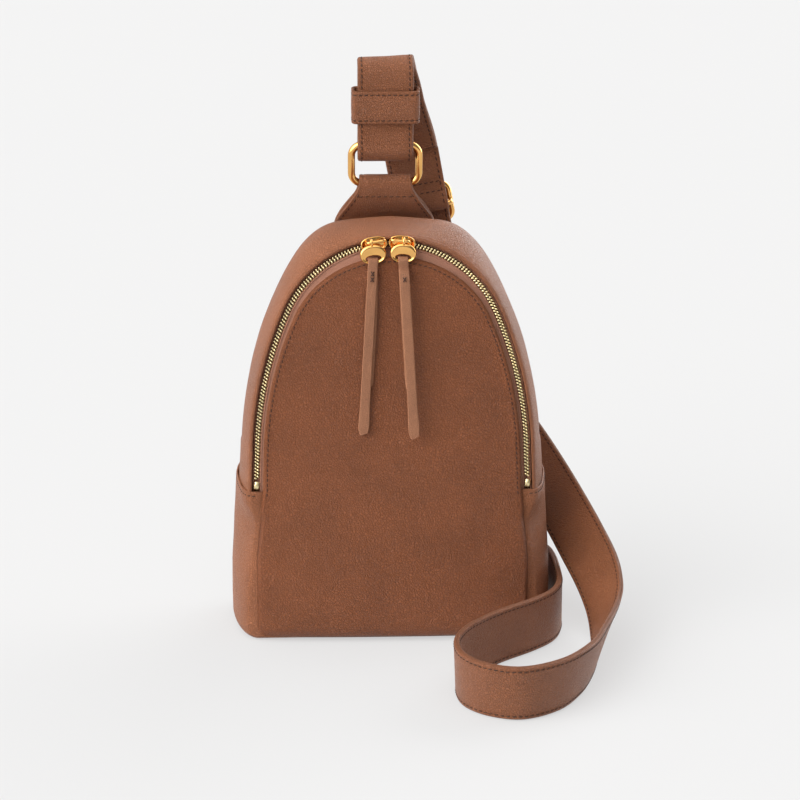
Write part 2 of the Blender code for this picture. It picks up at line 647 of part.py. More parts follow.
def long_strap():
    """One long band: down behind the bag, round a loop on the floor and back to the ring."""
    half = STRAP_WIDE / 2 / MM
    path = [
        (26.6, 63.0, 232.0, 1.0, 0.0, 0.23), (30.5, 64.5, 210.0, 1.0, 0.0, 0.28),
        (39.0, 68.0, 178.0, 0.97, 0.0, 0.35), (54.0, 71.0, 146.0, 0.9, 0.0, 0.45),
        (71.0, 69.0, 119.0, 0.84, 0.0, 0.55), (86.5, 61.0, 100.0, 0.78, -0.05, 0.62),
        (101.7, 42.0, 79.7, 0.73, -0.12, 0.67), (112.4, 20.0, 64.3, 0.72, -0.15, 0.67),
        (121.7, 0.0, 49.2, 0.73, -0.15, 0.66), (128.8, -22.0, 36.8, 0.68, -0.2, 0.7),
        (131.6, -42.0, 27.0, 0.57, -0.28, 0.77), (130.3, -60.0, 20.5, 0.46, -0.26, 0.85),
        (127.0, -80.0, 18.0, 0.34, -0.16, 0.93), (120.5, -105.0, 17.3, 0.24, -0.12, 0.96),
        (109.5, -136.0, 17.3, 0.2, -0.12, 0.97), (92.5, -161.0, 17.3, 0.1, -0.15, 0.98),
        (70.0, -174.0, 17.3, 0.0, -0.17, 0.985), (51.0, -169.0, 17.3, -0.05, -0.16, 0.985),
        (38.0, -154.0, 17.3, -0.07, -0.08, 0.99), (34.5, -133.0, 17.3, -0.04, 0.0, 1.0),
        (40.0, -113.0, 17.3, 0.0, 0.0, 1.0), (51.0, -97.0, 17.3, 0.0, 0.0, 1.0),
        (66.0, -81.0, 17.3, 0.0, 0.0, 1.0), (84.0, -65.5, 17.3, 0.0, 0.0, 1.0),
        (98.0, -49.0, 17.3, 0.0, 0.0, 1.0), (104.6, -30.0, 17.3, 0.0, 0.0, 1.0),
        (106.0, -8.0, 17.3, 0.0, 0.0, 1.0), (106.0, 16.0, 17.3, 0.0, 0.0, 1.0),
        (103.5, 36.0, 17.3, 0.0, 0.0, 1.0), (95.0, 50.0, 18.3, 0.0, 0.0, 1.0),
        (80.0, 56.3, 21.5, 0.0, 0.0, 1.0), (65.0, 57.2, 23.7, 0.0, 0.0, 1.0),
        (54.0, 57.2, 23.7, 0.0, 0.0, 1.0), (47.3, 57.0, 23.7, 0.0, 0.0, 1.0),
        (43.0, 55.5, 23.7, 0.0, 0.0, 1.0), (41.4, 51.5, 23.7, 0.0, 0.0, 1.0),
        (43.0, 47.4, 23.7, 0.0, 0.0, 1.0), (47.5, 45.8, 23.7, 0.0, 0.0, 1.0),
        (53.0, 47.8, 23.7, 0.0, 0.0, 1.0), (59.0, 51.9, 23.7, 0.0, 0.0, 1.0),
        (66.0, 52.8, 23.7, 0.0, 0.0, 1.0), (78.0, 52.3, 22.0, 0.0, 0.0, 1.0)]
    stations = [(x * MM, y * MM, z * MM, wx, wy, wz, half * MM)
                for x, y, z, wx, wy, wz in path]
    ribbon("long_strap", stations, STRAP_THICK, TAN_LEATHER, steps=2)


def lower_anchor():
    """Ring on edge behind the bag, held by a leather loop on the back panel."""
    limb = LOWER_RING_AT.x - RING_TALL / 2 + RING_WIRE
    swing = empty("lower_ring_axis", (limb, LOWER_RING_AT.y, LOWER_RING_AT.z))
    half = RING_TALL / 2 - RING_WIRE
    path = [(y + half, 0.0, x) for x, y in ring_path(RING_WIDE, RING_TALL, RING_CORNER)]
    ring = tube("lower_ring", path, RING_WIRE, cyclic=True)
    ring.parent = swing
    finish(ring, PALE_GOLD)
    x = limb / MM
    profile = [(x - 30, 44.25), (x - 14, 44.3), (x - 6, 45.2), (x, 47.0), (x + 3.3, 48.3),
               (x + 4.6, 51.5), (x + 3.3, 54.7), (x, 56.1), (x - 6, 53.8), (x - 14, 47.9),
               (x - 20, 46.5), (x - 30, 46.5)]
    stations = [(px * MM, py * MM, LOWER_RING_AT.z, 0, 0, 1, 16.5 * MM) for px, py in profile]
    ribbon("lower_chape", stations, SKIN, TAN_LEATHER)


front_panels()
back_panels()
gussets()
zip_fastener()
sliders()
top_ring()
top_chape()
strap_loop()
keeper()
adjuster()
long_strap()
lower_anchor()
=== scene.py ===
"""Looks of the leather sling bag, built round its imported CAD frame.

Metres, +Z up. The origin is the centre of the flat base, the bag faces -Y.
"""
import bisect
import math

import bmesh
import bpy
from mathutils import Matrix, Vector, noise


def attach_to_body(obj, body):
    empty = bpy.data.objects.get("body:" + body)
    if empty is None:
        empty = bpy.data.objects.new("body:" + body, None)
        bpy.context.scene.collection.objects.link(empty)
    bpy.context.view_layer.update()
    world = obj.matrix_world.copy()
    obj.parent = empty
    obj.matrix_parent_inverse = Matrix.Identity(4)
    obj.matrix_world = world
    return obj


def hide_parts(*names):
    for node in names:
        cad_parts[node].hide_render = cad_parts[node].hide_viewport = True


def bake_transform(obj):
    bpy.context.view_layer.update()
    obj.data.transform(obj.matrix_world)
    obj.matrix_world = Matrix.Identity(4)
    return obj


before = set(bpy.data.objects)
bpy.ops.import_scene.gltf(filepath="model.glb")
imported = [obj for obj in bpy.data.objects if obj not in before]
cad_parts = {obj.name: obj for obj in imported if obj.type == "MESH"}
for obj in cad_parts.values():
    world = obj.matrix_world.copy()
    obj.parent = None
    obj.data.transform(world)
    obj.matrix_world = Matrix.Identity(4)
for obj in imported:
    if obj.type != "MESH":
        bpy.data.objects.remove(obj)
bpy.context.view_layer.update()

MM = 0.001

# The bag's own measures, as in its CAD source
SKIN = 1.8 * MM
STRAP_THICK = 3.6 * MM
LEAN = math.radians(2.7)
FRONT_Y = -37.6 * MM
PANEL_N = 4.1 * MM
BACK_Y = 43.0 * MM
BASE_LIFT = 1.0 * MM
CROWN_V = 179.0 * MM
CROWN_R = 68.7 * MM
SHOULDER = math.radians(66)
FLANK_R = 230.0 * MM
FOOT = math.radians(88)
ZIP_END_V = 98.0 * MM
HINGE_V = 94.5 * MM
LAP_FRONT_Z = 93.5 * MM
LAP_BACK_Z = 101.0 * MM
ZIP_FOLD = 4.7 * MM
BACK_SEAM = 1.5 * MM
FRONT_HALF = 84.3 * MM
BACK_HALF = 86.0 * MM
SIDE_BULGE = 15.2 * MM
TOP_BULGE = 6.7 * MM
SLIDER_ANGLES = {"left": math.radians(-9.25), "right": math.radians(5.33)}
PIVOT_N = 8.3 * MM
PIVOT_UP = 2.6 * MM
STRAP_WIDE = 34.5 * MM
STITCH_IN = 2.6 * MM
GUSSET_MM = 78.0


def lerp(a, b, share):
    return a + (b - a) * share


def ease(value, low, high):
    """0 below low, 1 above high, smooth between them."""
    t = min(1.0, max(0.0, (value - low) / (high - low)))
    return t * t * (3 - 2 * t)


def front(x, v, n=0.0):
    """World point of the leaned front plane; n counts forward from the zip teeth."""
    y = FRONT_Y + v * math.sin(LEAN) - n * math.cos(LEAN)
    return Vector((x, y, v * math.cos(LEAN) + n * math.sin(LEAN)))


FRONT_NORMAL = front(0, 0, 1) - front(0, 0, 0)


# Materials

class Finish:
    """A Principled material and short calls for its procedural nodes."""

    def __init__(self, name, roughness, metallic=0.0):
        self.mat = bpy.data.materials.new(name)
        self.mat.use_nodes = True
        self.tree = self.mat.node_tree
        self.shader = self.tree.nodes["Principled BSDF"]
        self.shader.inputs["Roughness"].default_value = roughness
        self.shader.inputs["Metallic"].default_value = metallic
        self.shader.inputs["Specular IOR Level"].default_value = 0.5 if metallic else 0.32
        self.place = self.node("ShaderNodeTexCoord").outputs["Object"]

    def node(self, kind, **settings):
        made = self.tree.nodes.new(kind)
        for key, value in settings.items():
            setattr(made, key, value)
        return made

    def feed(self, socket, value):
        if isinstance(value, bpy.types.NodeSocket):
            self.tree.links.new(value, socket)
        else:
            socket.default_value = value

    def math(self, operation, a, b=0.0, c=0.0):
        made = self.node("ShaderNodeMath", operation=operation)
        for socket, value in zip(made.inputs, (a, b, c)):
            self.feed(socket, value)
        return made.outputs[0]

    def noise(self, scale, detail=2.0, place=None, output="Fac"):
        made = self.node("ShaderNodeTexNoise")
        self.feed(made.inputs["Vector"], place or self.place)
        made.inputs["Scale"].default_value = scale
        made.inputs["Detail"].default_value = detail
        return made.outputs[output]

    def stretched(self, x, y, z):
        made = self.node("ShaderNodeMapping")
        self.feed(made.inputs["Vector"], self.place)
        made.inputs["Scale"].default_value = (x, y, z)
        return made.outputs[0]

    def wavering(self, amount, scale):
        """Object coordinates pushed about by noise."""
        push = self.node("ShaderNodeVectorMath", operation="MULTIPLY_ADD")
        self.feed(push.inputs[0], self.noise(scale, 1.0, output="Color"))
        push.inputs[1].default_value = (amount,) * 3
        self.feed(push.inputs[2], self.place)
        return push.outputs[0]

    def cells(self, scale, place=None):
        made = self.node("ShaderNodeTexVoronoi", feature="DISTANCE_TO_EDGE")
        self.feed(made.inputs["Vector"], place or self.place)
        made.inputs["Scale"].default_value = scale
        return made.outputs["Distance"]

    def span(self, value, low, high, out_low=0.0, out_high=1.0):
        made = self.node("ShaderNodeMapRange", interpolation_type="SMOOTHSTEP")
        for socket, number in zip(made.inputs[:5], (value, low, high, out_low, out_high)):
            self.feed(socket, number)
        return made.outputs[0]

    def attribute(self, name):
        return self.node("ShaderNodeAttribute", attribute_name=name).outputs["Fac"]

    def mix(self, share, a, b):
        made = self.node("ShaderNodeMix", data_type="RGBA")
        self.feed(made.inputs["Factor"], share)
        for socket, value in zip((made.inputs[6], made.inputs[7]), (a, b)):
            self.feed(socket, (*value, 1.0) if isinstance(value, tuple) else value)
        return made.outputs[2]

    def colour(self, value):
        self.feed(self.shader.inputs["Base Color"],
                  (*value, 1.0) if isinstance(value, tuple) else value)

    def rough(self, value):
        self.feed(self.shader.inputs["Roughness"], value)

    def bump(self, height, distance, strength):
        made = self.node("ShaderNodeBump")
        made.inputs["Strength"].default_value = strength
        made.inputs["Distance"].default_value = distance
        self.feed(made.inputs["Height"], height)
        self.feed(self.shader.inputs["Normal"], made.outputs[0])


def toned(colour, factor):
    return tuple(min(1.0, c * factor) for c in colour)


def leather(name, tint, grain=1.0, cell=640.0, roughness=0.40, cut=0.42):
    """Pebbled full-grain leather. The "edge" attribute darkens and smooths burnished strap edges,
    and paints shade into the seams and folds of the panels and gussets; cut is the tone of both.
    """
    made = Finish(name, roughness)
    place = made.wavering(0.0016, 260.0)
    pebble = made.span(made.cells(cell, place), 0.0, 0.17)
    small = made.span(made.cells(cell * 2.3, place), 0.0, 0.2)
    pores = made.noise(3600.0, 2.0)
    crease = made.noise(1.0, 3.0, made.stretched(55.0, 55.0, 170.0))
    mottle = made.noise(26.0, 3.0)
    edge = made.attribute("edge")
    tone = made.mix(made.span(mottle, 0.3, 0.7), toned(tint, 0.9), toned(tint, 1.1))
    tone = made.mix(made.span(made.noise(420.0), 0.35, 0.75, 0.0, 0.35), tone, toned(tint, 1.25))
    # Darker in the hollows of the pebble grain: the grain's own pattern, with shade painted into
    # its hollows.
    tone = made.mix(made.math("MULTIPLY", made.math("SUBTRACT", 1.0, pebble), 0.34), tone,
                    toned(tint, 0.45))
    # Edge colour: burnished edges on the straps, painted seam shade on the panels and gussets.
    made.colour(made.mix(made.math("MULTIPLY", edge, 0.75), tone, toned(tint, cut)))
    rough = made.span(made.math("ADD", made.math("MULTIPLY", pebble, -0.45), mottle),
                      -0.2, 0.9, roughness - 0.05, roughness + 0.17)
    made.rough(made.math("MULTIPLY_ADD", edge, 0.3, rough))
    height = made.math("ADD", made.math("MULTIPLY", pebble, 0.62),
                       made.math("MULTIPLY", small, 0.22))
    height = made.math("MULTIPLY_ADD", pores, 0.16, height)
    height = made.math("MULTIPLY_ADD", crease, 0.9, height)
    height = made.math("MULTIPLY", height, made.span(edge, 0.0, 1.0, 1.0, 0.25))
    made.bump(height, 0.00066 * grain, 1.0)
    return made.mat


def polished(name, tint, roughness):
    """Plated metal with faint waves and hairline wear."""
    made = Finish(name, roughness, 1.0)
    haze = made.noise(70.0, 2.0)
    made.colour(made.mix(made.span(haze, 0.35, 0.7), tint, toned(tint, 0.82)))
    scratch = made.noise(1.0, 4.0, made.stretched(2400.0, 500.0, 300.0))
    made.rough(made.span(made.math("ADD", haze, made.math("MULTIPLY", scratch, 0.5)),
                         0.5, 1.1, roughness * 0.75, roughness * 1.5))
    made.bump(made.math("ADD", haze, made.math("MULTIPLY", scratch, 0.15)), 0.00012, 0.25)
    return made.mat


def zip_tape_finish():
    """Herringbone tape: chevrons run along the tape's own UV, which is in millimetres."""
    made = Finish("zip_tape_weave", 0.78)
    apart = made.node("ShaderNodeSeparateXYZ")
    made.feed(apart.inputs[0], made.node("ShaderNodeUVMap").outputs[0])
    zigzag = made.math("PINGPONG", apart.outputs[1], 0.85)
    run = made.math("ADD", apart.outputs[0], zigzag)
    wave = made.math("SINE", made.math("MULTIPLY", run, 2 * math.pi / 0.62))
    fine = made.math("SINE", made.math("MULTIPLY", apart.outputs[1], 2 * math.pi / 0.21))
    thread = made.math("MULTIPLY_ADD", fine, 0.22, wave)
    tint = (0.46, 0.215, 0.14)
    made.colour(made.mix(made.span(thread, -0.9, 0.9), toned(tint, 0.6), toned(tint, 1.25)))
    made.bump(thread, 0.00014, 0.9)
    return made.mat


def woven(name, tint):
    """Plain-weave lining cloth with slubs."""
    made = Finish(name, 0.86)
    apart = made.node("ShaderNodeSeparateXYZ")
    made.feed(apart.inputs[0], made.wavering(0.00035, 90.0))
    warp = made.math("SINE", made.math("MULTIPLY", made.math(
        "ADD", apart.outputs[0], made.math("MULTIPLY", apart.outputs[1], 0.9)), 9500.0))
    weft = made.math("SINE", made.math("MULTIPLY", apart.outputs[2], 9500.0))
    cloth = made.math("MULTIPLY", warp, weft)
    tone = made.mix(made.span(cloth, -0.6, 0.9), toned(tint, 0.72), toned(tint, 1.12))
    made.colour(made.mix(made.span(made.noise(120.0, 4.0), 0.4, 0.75, 0.0, 0.5), tone,
                         toned(tint, 0.8)))
    made.bump(cloth, 0.00012, 0.6)
    return made.mat


def thread_finish():
    made = Finish("stitch_thread", 0.62)
    ply = made.noise(2600.0, 1.0)
    tint = (0.048, 0.019, 0.011)
    made.colour(made.mix(made.span(ply, 0.35, 0.65), toned(tint, 0.6), toned(tint, 1.7)))
    made.bump(ply, 0.00008, 0.6)
    return made.mat


def board_finish():
    made = Finish("grey_board", 0.9)
    fleck = made.noise(900.0, 4.0)
    made.colour(made.mix(made.span(fleck, 0.35, 0.7), (0.13, 0.12, 0.115), (0.26, 0.25, 0.24)))
    made.bump(fleck, 0.00015, 0.7)
    return made.mat


TINT = (0.262, 0.094, 0.040)
# One leather, tinted darker and redder on the front and back panels than on the gussets: painted
# shade on the panels, painted light on the gussets.
HIDE = leather("leather_body", (0.215, 0.066, 0.0225))
SIDE_HIDE = leather("leather_gusset", toned(TINT, 1.12))
STRAP_HIDE = leather("leather_strap", toned(TINT, 1.02), 1.0, 700.0, 0.34)
TAB_HIDE = leather("leather_tab", (0.31, 0.134, 0.068), 0.45, 1100.0, 0.55, 1.5)
GOLD = polished("gold_plate", (0.90, 0.50, 0.16), 0.13)
TEETH_GOLD = polished("teeth_plate", (0.93, 0.78, 0.44), 0.24)
WEAVE = zip_tape_finish()
LINING = woven("lining_cloth", (0.42, 0.335, 0.25))
THREAD = thread_finish()
BOARD = board_finish()


# Mesh helpers

def placed(name, data):
    """Object of a mesh or camera, linked to the scene."""
    obj = bpy.data.objects.new(name, data)
    bpy.context.scene.collection.objects.link(obj)
    return obj


def build(name, verts, faces, finish, uvs=None, edge=None):
    """Mesh object; uvs and edge hold one entry per vertex."""
    mesh = bpy.data.meshes.new(name)
    mesh.from_pydata([tuple(v) for v in verts], [], faces)
    mesh.materials.append(finish)
    if uvs:
        layer = mesh.uv_layers.new(name="UVMap")
        for loop in mesh.loops:
            layer.data[loop.index].uv = uvs[loop.vertex_index]
    if edge:
        mesh.attributes.new("edge", "FLOAT", "POINT").data.foreach_set("value", edge)
    mesh.shade_smooth()
    mesh.update()
    return placed(name, mesh)


def grid_faces(rows, columns, cyclic=False, first=0):
    """Quads of a grid stored row by row; cyclic joins the last column to the first."""
    faces = []
    for r in range(rows - 1):
        for c in range(columns if cyclic else columns - 1):
            d = (c + 1) % columns
            faces.append((first + r * columns + c, first + r * columns + d,
                          first + (r + 1) * columns + d, first + (r + 1) * columns + c))
    return faces


def tube_faces(rings, count, first=0):
    """Quads round a tube of rings stored one after another, and its two end caps."""
    last = first + count * (rings - 1)
    return grid_faces(rings, count, True, first) + [
        tuple(range(first + count - 1, first - 1, -1)), tuple(range(last, last + count))]


def tidy(obj, sharp=None):
    """Faces turned outwards, and edges sharper than an angle split in the shading."""
    bm = bmesh.new()
    bm.from_mesh(obj.data)
    bmesh.ops.remove_doubles(bm, verts=bm.verts, dist=0.002 * MM)
    bmesh.ops.recalc_face_normals(bm, faces=bm.faces)
    bm.to_mesh(obj.data)
    bm.free()
    if sharp:
        obj.data.set_sharp_from_angle(angle=math.radians(sharp))
    return obj


def lofted(name, sections, finish, cyclic=False, edge=None, uvs=None):
    """Skin over closed sections of equal length; edge and uvs follow the vertices."""
    count = len(sections[0])
    verts = [p for section in sections for p in section]
    if cyclic:
        last = (len(sections) - 1) * count
        faces = grid_faces(len(sections), count, True) + [
            (last + c, last + (c + 1) % count, (c + 1) % count, c) for c in range(count)]
    else:
        faces = tube_faces(len(sections), count)
    return tidy(build(name, verts, faces, finish, uvs, edge))


def travelled(points):
    """Length of a polyline up to each of its points."""
    lengths = [0.0]
    for a, b in zip(points, points[1:]):
        lengths.append(lengths[-1] + (b - a).length)
    return lengths


def spread(points, count):
    """A polyline resampled to `count` points, evenly along its length."""
    lengths = travelled(points)
    made, i = [], 0
    for k in range(count):
        target = lengths[-1] * k / (count - 1)
        while i < len(points) - 2 and lengths[i + 1] < target:
            i += 1
        span = lengths[i + 1] - lengths[i] or 1.0
        made.append(points[i].lerp(points[i + 1], (target - lengths[i]) / span))
    return made


def curved(stations, steps):
    """Catmull-Rom curve through lists of numbers, with `steps` spans between stations."""
    ends = [stations[0], *stations, stations[-1]]
    made = []
    for a, b, c, d in zip(ends, ends[1:], ends[2:], ends[3:]):
        for i in range(steps):
            t = i / steps
            made.append([0.5 * (2 * q + (r - p) * t + (2 * p - 5 * q + 4 * r - s) * t * t
                                + (3 * q - p - 3 * r + s) * t ** 3)
                         for p, q, r, s in zip(a, b, c, d)])
    return made + [list(stations[-1])]


def tangents(points, cyclic=False):
    made = []
    for i in range(len(points)):
        if cyclic:
            a, b = points[i - 1], points[(i + 1) % len(points)]
        else:
            a, b = points[max(0, i - 1)], points[min(len(points) - 1, i + 1)]
        made.append((b - a).normalized())
    return made


def wire(name, path, radius, finish, cyclic=False, sides=14):
    """Round bar along points that lie in one plane or nearly so."""
    along = tangents(path, cyclic)
    normal = Vector((0, 0, 0))
    for a, b in zip(along, along[1:]):
        normal += a.cross(b) if normal.dot(a.cross(b)) >= 0 else -a.cross(b)
    normal = normal.normalized() if normal.length > 1e-9 else along[0].orthogonal().normalized()
    sections = []
    for p, t in zip(path, along):
        side = t.cross(normal).normalized()
        up = side.cross(t)
        sections.append([p + (side * math.cos(a) + up * math.sin(a)) * radius
                         for a in (2 * math.pi * k / sides for k in range(sides))])
    return lofted(name, sections, finish, cyclic=cyclic)


def joined(name, pieces):
    """One object from several that share a material or bring their own."""
    bm = bmesh.new()
    finishes = []
    for piece in pieces:
        for mat in piece.data.materials:
            if mat not in finishes:
                finishes.append(mat)
    for piece in pieces:
        before = len(bm.faces)
        bm.from_mesh(piece.data)
        bm.faces.ensure_lookup_table()
        for face in bm.faces[before:]:
            face.material_index = finishes.index(piece.data.materials[face.material_index])
    mesh = bpy.data.meshes.new(name)
    bm.to_mesh(mesh)
    bm.free()
    for mat in finishes:
        mesh.materials.append(mat)
    for piece in pieces:
        bpy.data.objects.remove(piece)
    return placed(name, mesh)


def attach(obj, slot, nodes):
    if nodes:
        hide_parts(*nodes)


def ride(obj, body, slot, *nodes):
    """Hangs a piece on a body, in place of the CAD nodes that it stands for."""
    attach(obj, slot, nodes)
    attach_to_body(obj, body)


def bend(obj, joint, slot, *nodes):
    """Puts a piece in place of the CAD nodes that it stands for, with its transform baked; it
    hangs on no body and does not bend. joint, (body, body, from, to), is not used.
    """
    attach(obj, slot, nodes)
    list(joint)
    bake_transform(obj)


# Pitch, length and radius of the stitches on the straps, in millimetres
STRAP_STITCH = (3.5, 2.6, 0.38)
STITCH_SIDES = 5
# Share of a stitch's length, of its radius, and height over the leather
STITCH_RINGS = ((0.0, 0.45, -0.30), (0.12, 0.85, 0.05), (0.5, 1.0, 0.16), (0.88, 0.85, 0.05),
                (1.0, 0.45, -0.30))


def stitch_mesh(name, runs, pitch=3.1, reach=2.3, radius=0.36, slant=0.15):
    """Rows of separate stitches. Each run is a list of (point, surface normal)."""
    verts, faces = [], []
    for run in runs:
        lengths = travelled([p for p, _ in run])
        total = lengths[-1]
        count = max(1, int(total / (pitch * MM)))
        step = total / count

        def at(s):
            i = bisect.bisect_right(lengths, s, 0, len(lengths) - 1) - 1
            t = (s - lengths[i]) / max(1e-9, lengths[i + 1] - lengths[i])
            return (run[i][0].lerp(run[i + 1][0], t),
                    run[i][1].lerp(run[i + 1][1], t).normalized())

        for k in range(count):
            start = k * step + (step - reach * MM) / 2
            across = None
            first = len(verts)
            for share, fat, height in STITCH_RINGS:
                point, up = at(max(0.0, min(total, start + reach * MM * share)))
                if across is None:
                    ahead, _ = at(min(total, start + reach * MM))
                    across = up.cross(ahead - point).normalized()
                point = point + across * (share - 0.5) * 2 * slant * MM + up * height * MM
                for j in range(STITCH_SIDES):
                    a = 2 * math.pi * j / STITCH_SIDES + 0.3
                    verts.append(point + (across * math.cos(a) * radius
                                          + up * math.sin(a) * radius * 0.8) * MM * fat)
            faces += tube_faces(len(STITCH_RINGS), STITCH_SIDES, first)
    return build(name, verts, faces, THREAD)


def skinned(name, grid, thickness, finish, edge_rows=0.0):
    """Sheet of leather or cloth under a grid of outer points (rows x columns).

    The rows' two ends get a rounded fold, darkened by edge_rows of painted shade; the body is
    closed.
    """
    rows, columns = len(grid), len(grid[0])
    normals = []
    for r in range(rows):
        line = []
        for c in range(columns):
            down = grid[min(rows - 1, r + 1)][c] - grid[max(0, r - 1)][c]
            along = grid[r][min(columns - 1, c + 1)] - grid[r][max(0, c - 1)]
            line.append(down.cross(along).normalized())
        normals.append(line)
    sections, edge = [], []
    for r in range(rows):
        outer = grid[r]
        inner = [p - n * thickness for p, n in zip(outer, normals[r])]
        head = (outer[0] + inner[0]) / 2 + (outer[0] - outer[1]).normalized() * thickness * 0.4
        tail = (outer[-1] + inner[-1]) / 2 + (outer[-1] - outer[-2]).normalized() * thickness * 0.4
        sections.append([head, *outer, tail, *inner[::-1]])
        # edge_rows is painted shade in the "edge" attribute, at both folded ends of the rows and
        # the three columns beside them.
        near = [edge_rows * max(0.0, 1 - min(c, columns - 1 - c) / 3) for c in range(columns)]
        edge += [edge_rows] + near + [edge_rows] + [0.0] * columns
    return lofted(name, sections, finish, edge=edge), normals


# Outlines of the bag

def zip_point(angle, offset=0.0):
    """Point (x, v) of the zip line where its normal is `angle` from the top, moved outwards."""
    side = -1.0 if angle < 0 else 1.0
    turn = abs(angle)
    crown = min(turn, SHOULDER)
    x = CROWN_R * math.sin(crown)
    v = CROWN_V + CROWN_R * math.cos(crown)
    if turn > SHOULDER:
        x += FLANK_R * (math.sin(turn) - math.sin(SHOULDER))
        v += FLANK_R * (math.cos(turn) - math.cos(SHOULDER))
    return side * (x + offset * math.sin(turn)), v + offset * math.cos(turn)


def foot_point(side, v, offset=0.0):
    """Point of the zip line's straight foot, which flares slightly as it descends."""
    x, top = zip_point(FOOT, offset)
    return side * (x + (top - v) / math.tan(FOOT)), v


def rise(offset, bottom, upto=0.0, feet=14, flank=34, crown=34):
    """Right side of an arch from its foot to the angle `upto`, as (x, v); offset(angle, v)."""
    points = []
    knee = zip_point(FOOT, offset(FOOT, 0.0))[1]
    for i in range(feet):
        v = bottom + (knee - bottom) * i / feet
        points.append(foot_point(1.0, v, offset(FOOT, v)))
    for i in range(flank):
        angle = FOOT + (SHOULDER - FOOT) * i / flank
        points.append(zip_point(angle, offset(angle, 0.0)))
    for i in range(crown + 1):
        angle = SHOULDER + (upto - SHOULDER) * i / crown
        points.append(zip_point(angle, offset(angle, 0.0)))
    return points


def arch(offset, bottom, **steps):
    """Whole arch from the left foot over the top to the right foot."""
    right = rise(offset, bottom, **steps)
    return [(-x, v) for x, v in right] + right[-2::-1]


def panel_gap(angle):
    """Room between the teeth and the front panel's edge: widest at the top."""
    return -(4.0 + 3.5 * math.cos(angle) ** 2) * MM


def flat(points):
    return [Vector((x, v, 0.0)) for x, v in points]


def four_sides(corner, half, low, climb, across=57, up=97):
    """Closed outline as bottom, right, top and left runs of (x, v, 0), split at the corners.

    climb holds the right side above its bottom corner; its part past 50 degrees is the top.
    """
    rising, top = climb

    def turned(degrees):
        a = math.radians(degrees)
        return (half - corner + corner * math.cos(a), low + corner + corner * math.sin(a))

    bend = [turned(-90 + 5 * i) for i in range(10)]
    bottom = flat([(-x, v) for x, v in bend[::-1]] + bend)
    right = flat([turned(-45 + 5 * i) for i in range(10)] + rising)
    over = flat(top + [(-x, v) for x, v in top[-2::-1]])
    sides = [spread(bottom, across), spread(right, up), spread(over, across)]
    return sides + [[Vector((-p.x, p.y, 0)) for p in sides[1][::-1]]]


def split_arch(offset, bottom):
    """The two halves that four_sides takes: up to the shoulder, and from there to the top."""
    shoulder = math.radians(50)
    up = rise(offset, bottom, shoulder)
    top = [zip_point(shoulder * (1 - i / 30), offset(shoulder * (1 - i / 30), 0.0))
           for i in range(31)]
    return up, top


def panel(name, sides, bands, level, place, finish, rim=(), shade_and_ripple=lambda v, d: 0.0):
    """Sheet filling an outline: rings at the `bands` distances inside it, then a patch.

    level(x, v, d) is the height of the face, place(x, v, n) the world point. rim holds
    (distance, drop) rings that turn the edge back, with painted seam shade in their "edge" value;
    the last argument gives, from (v, d), the painted shade of the other rings.
    """
    loop = [p for side in sides for p in side[:-1]]
    total = len(loop)
    inward = [Vector((-t.y, t.x, 0)) for t in tangents(loop, cyclic=True)]
    verts, edge = [], []

    def ring(d, drop=None):
        for p, n in zip(loop, inward):
            q = p + n * d
            height = level(q.x, q.y, max(d, 0.0))
            if drop is not None:
                height = level(q.x, q.y, 0.0) - drop
            verts.append(place(q.x, q.y, height))
            # Painted shade in the seam: a fixed 0.6 on the rim rings, the given function's value
            # on the others.
            edge.append(0.6 if drop is not None else shade_and_ripple(q.y, d))

    for d, drop in rim[::-1]:
        ring(d, drop)
    for d in bands:
        ring(d)
    rings = len(rim) + len(bands)
    faces = grid_faces(rings, total, True)
    last = (rings - 1) * total
    inner = [p + n * bands[-1] for p, n in zip(loop, inward)]
    across, up = len(sides[0]), len(sides[1])

    def border(i, j):
        if j == 0:
            return i
        if i == across - 1:
            return across - 1 + j
        if j == up - 1:
            return across - 1 + up - 1 + (across - 1 - i)
        if i == 0:
            return (2 * (across - 1) + up - 1 + (up - 1 - j)) % total
        return None

    index = {}
    corners = [inner[border(i, j)] for i, j in
               ((0, 0), (across - 1, 0), (0, up - 1), (across - 1, up - 1))]
    for j in range(up):
        t = j / (up - 1)
        for i in range(across):
            s = i / (across - 1)
            at = border(i, j)
            if at is not None:
                index[i, j] = last + at
                continue
            p = ((1 - t) * inner[border(i, 0)] + t * inner[border(i, up - 1)]
                 + (1 - s) * inner[border(0, j)] + s * inner[border(across - 1, j)]
                 - (1 - s) * (1 - t) * corners[0] - s * (1 - t) * corners[1]
                 - (1 - s) * t * corners[2] - s * t * corners[3])
            gap = min(i, across - 1 - i, j, up - 1 - j) * 2.0 * MM
            index[i, j] = len(verts)
            verts.append(place(p.x, p.y, level(p.x, p.y, bands[-1] + gap)))
            edge.append(0.0)
    for j in range(up - 1):
        for i in range(across - 1):
            faces.append((index[i, j], index[i + 1, j], index[i + 1, j + 1], index[i, j + 1]))
    return build(name, verts, faces, finish, edge=edge)


def wave(x, y, z, size, seed=0.0):
    """Smooth noise from -1 to 1, with features about `size` mm across."""
    f = 1000.0 / size
    return noise.noise(Vector((x * f + seed, y * f - seed, z * f + seed * 0.7)))


# Front leather: one piece from the base to the zip

BANDS = [d * MM for d in (0, 0.15, 0.4, 0.8, 1.3, 1.8, 2.2, 2.6, 3.0, 3.4, 4.2, 5.2)]
ZIPPED = (77 * MM, 83 * MM)


def half_width(v):
    """Half the front panel's width at height v, near enough for its belly."""
    if v < 122 * MM:
        return FRONT_HALF - 6.1 * MM * max(0.0, v - 50 * MM) / (72 * MM)
    top = CROWN_V + CROWN_R - 7.5 * MM
    share = min(0.999, (v - 122 * MM) / (top - 122 * MM))
    return 78.2 * MM * (1 - share ** 2.3) ** 0.5


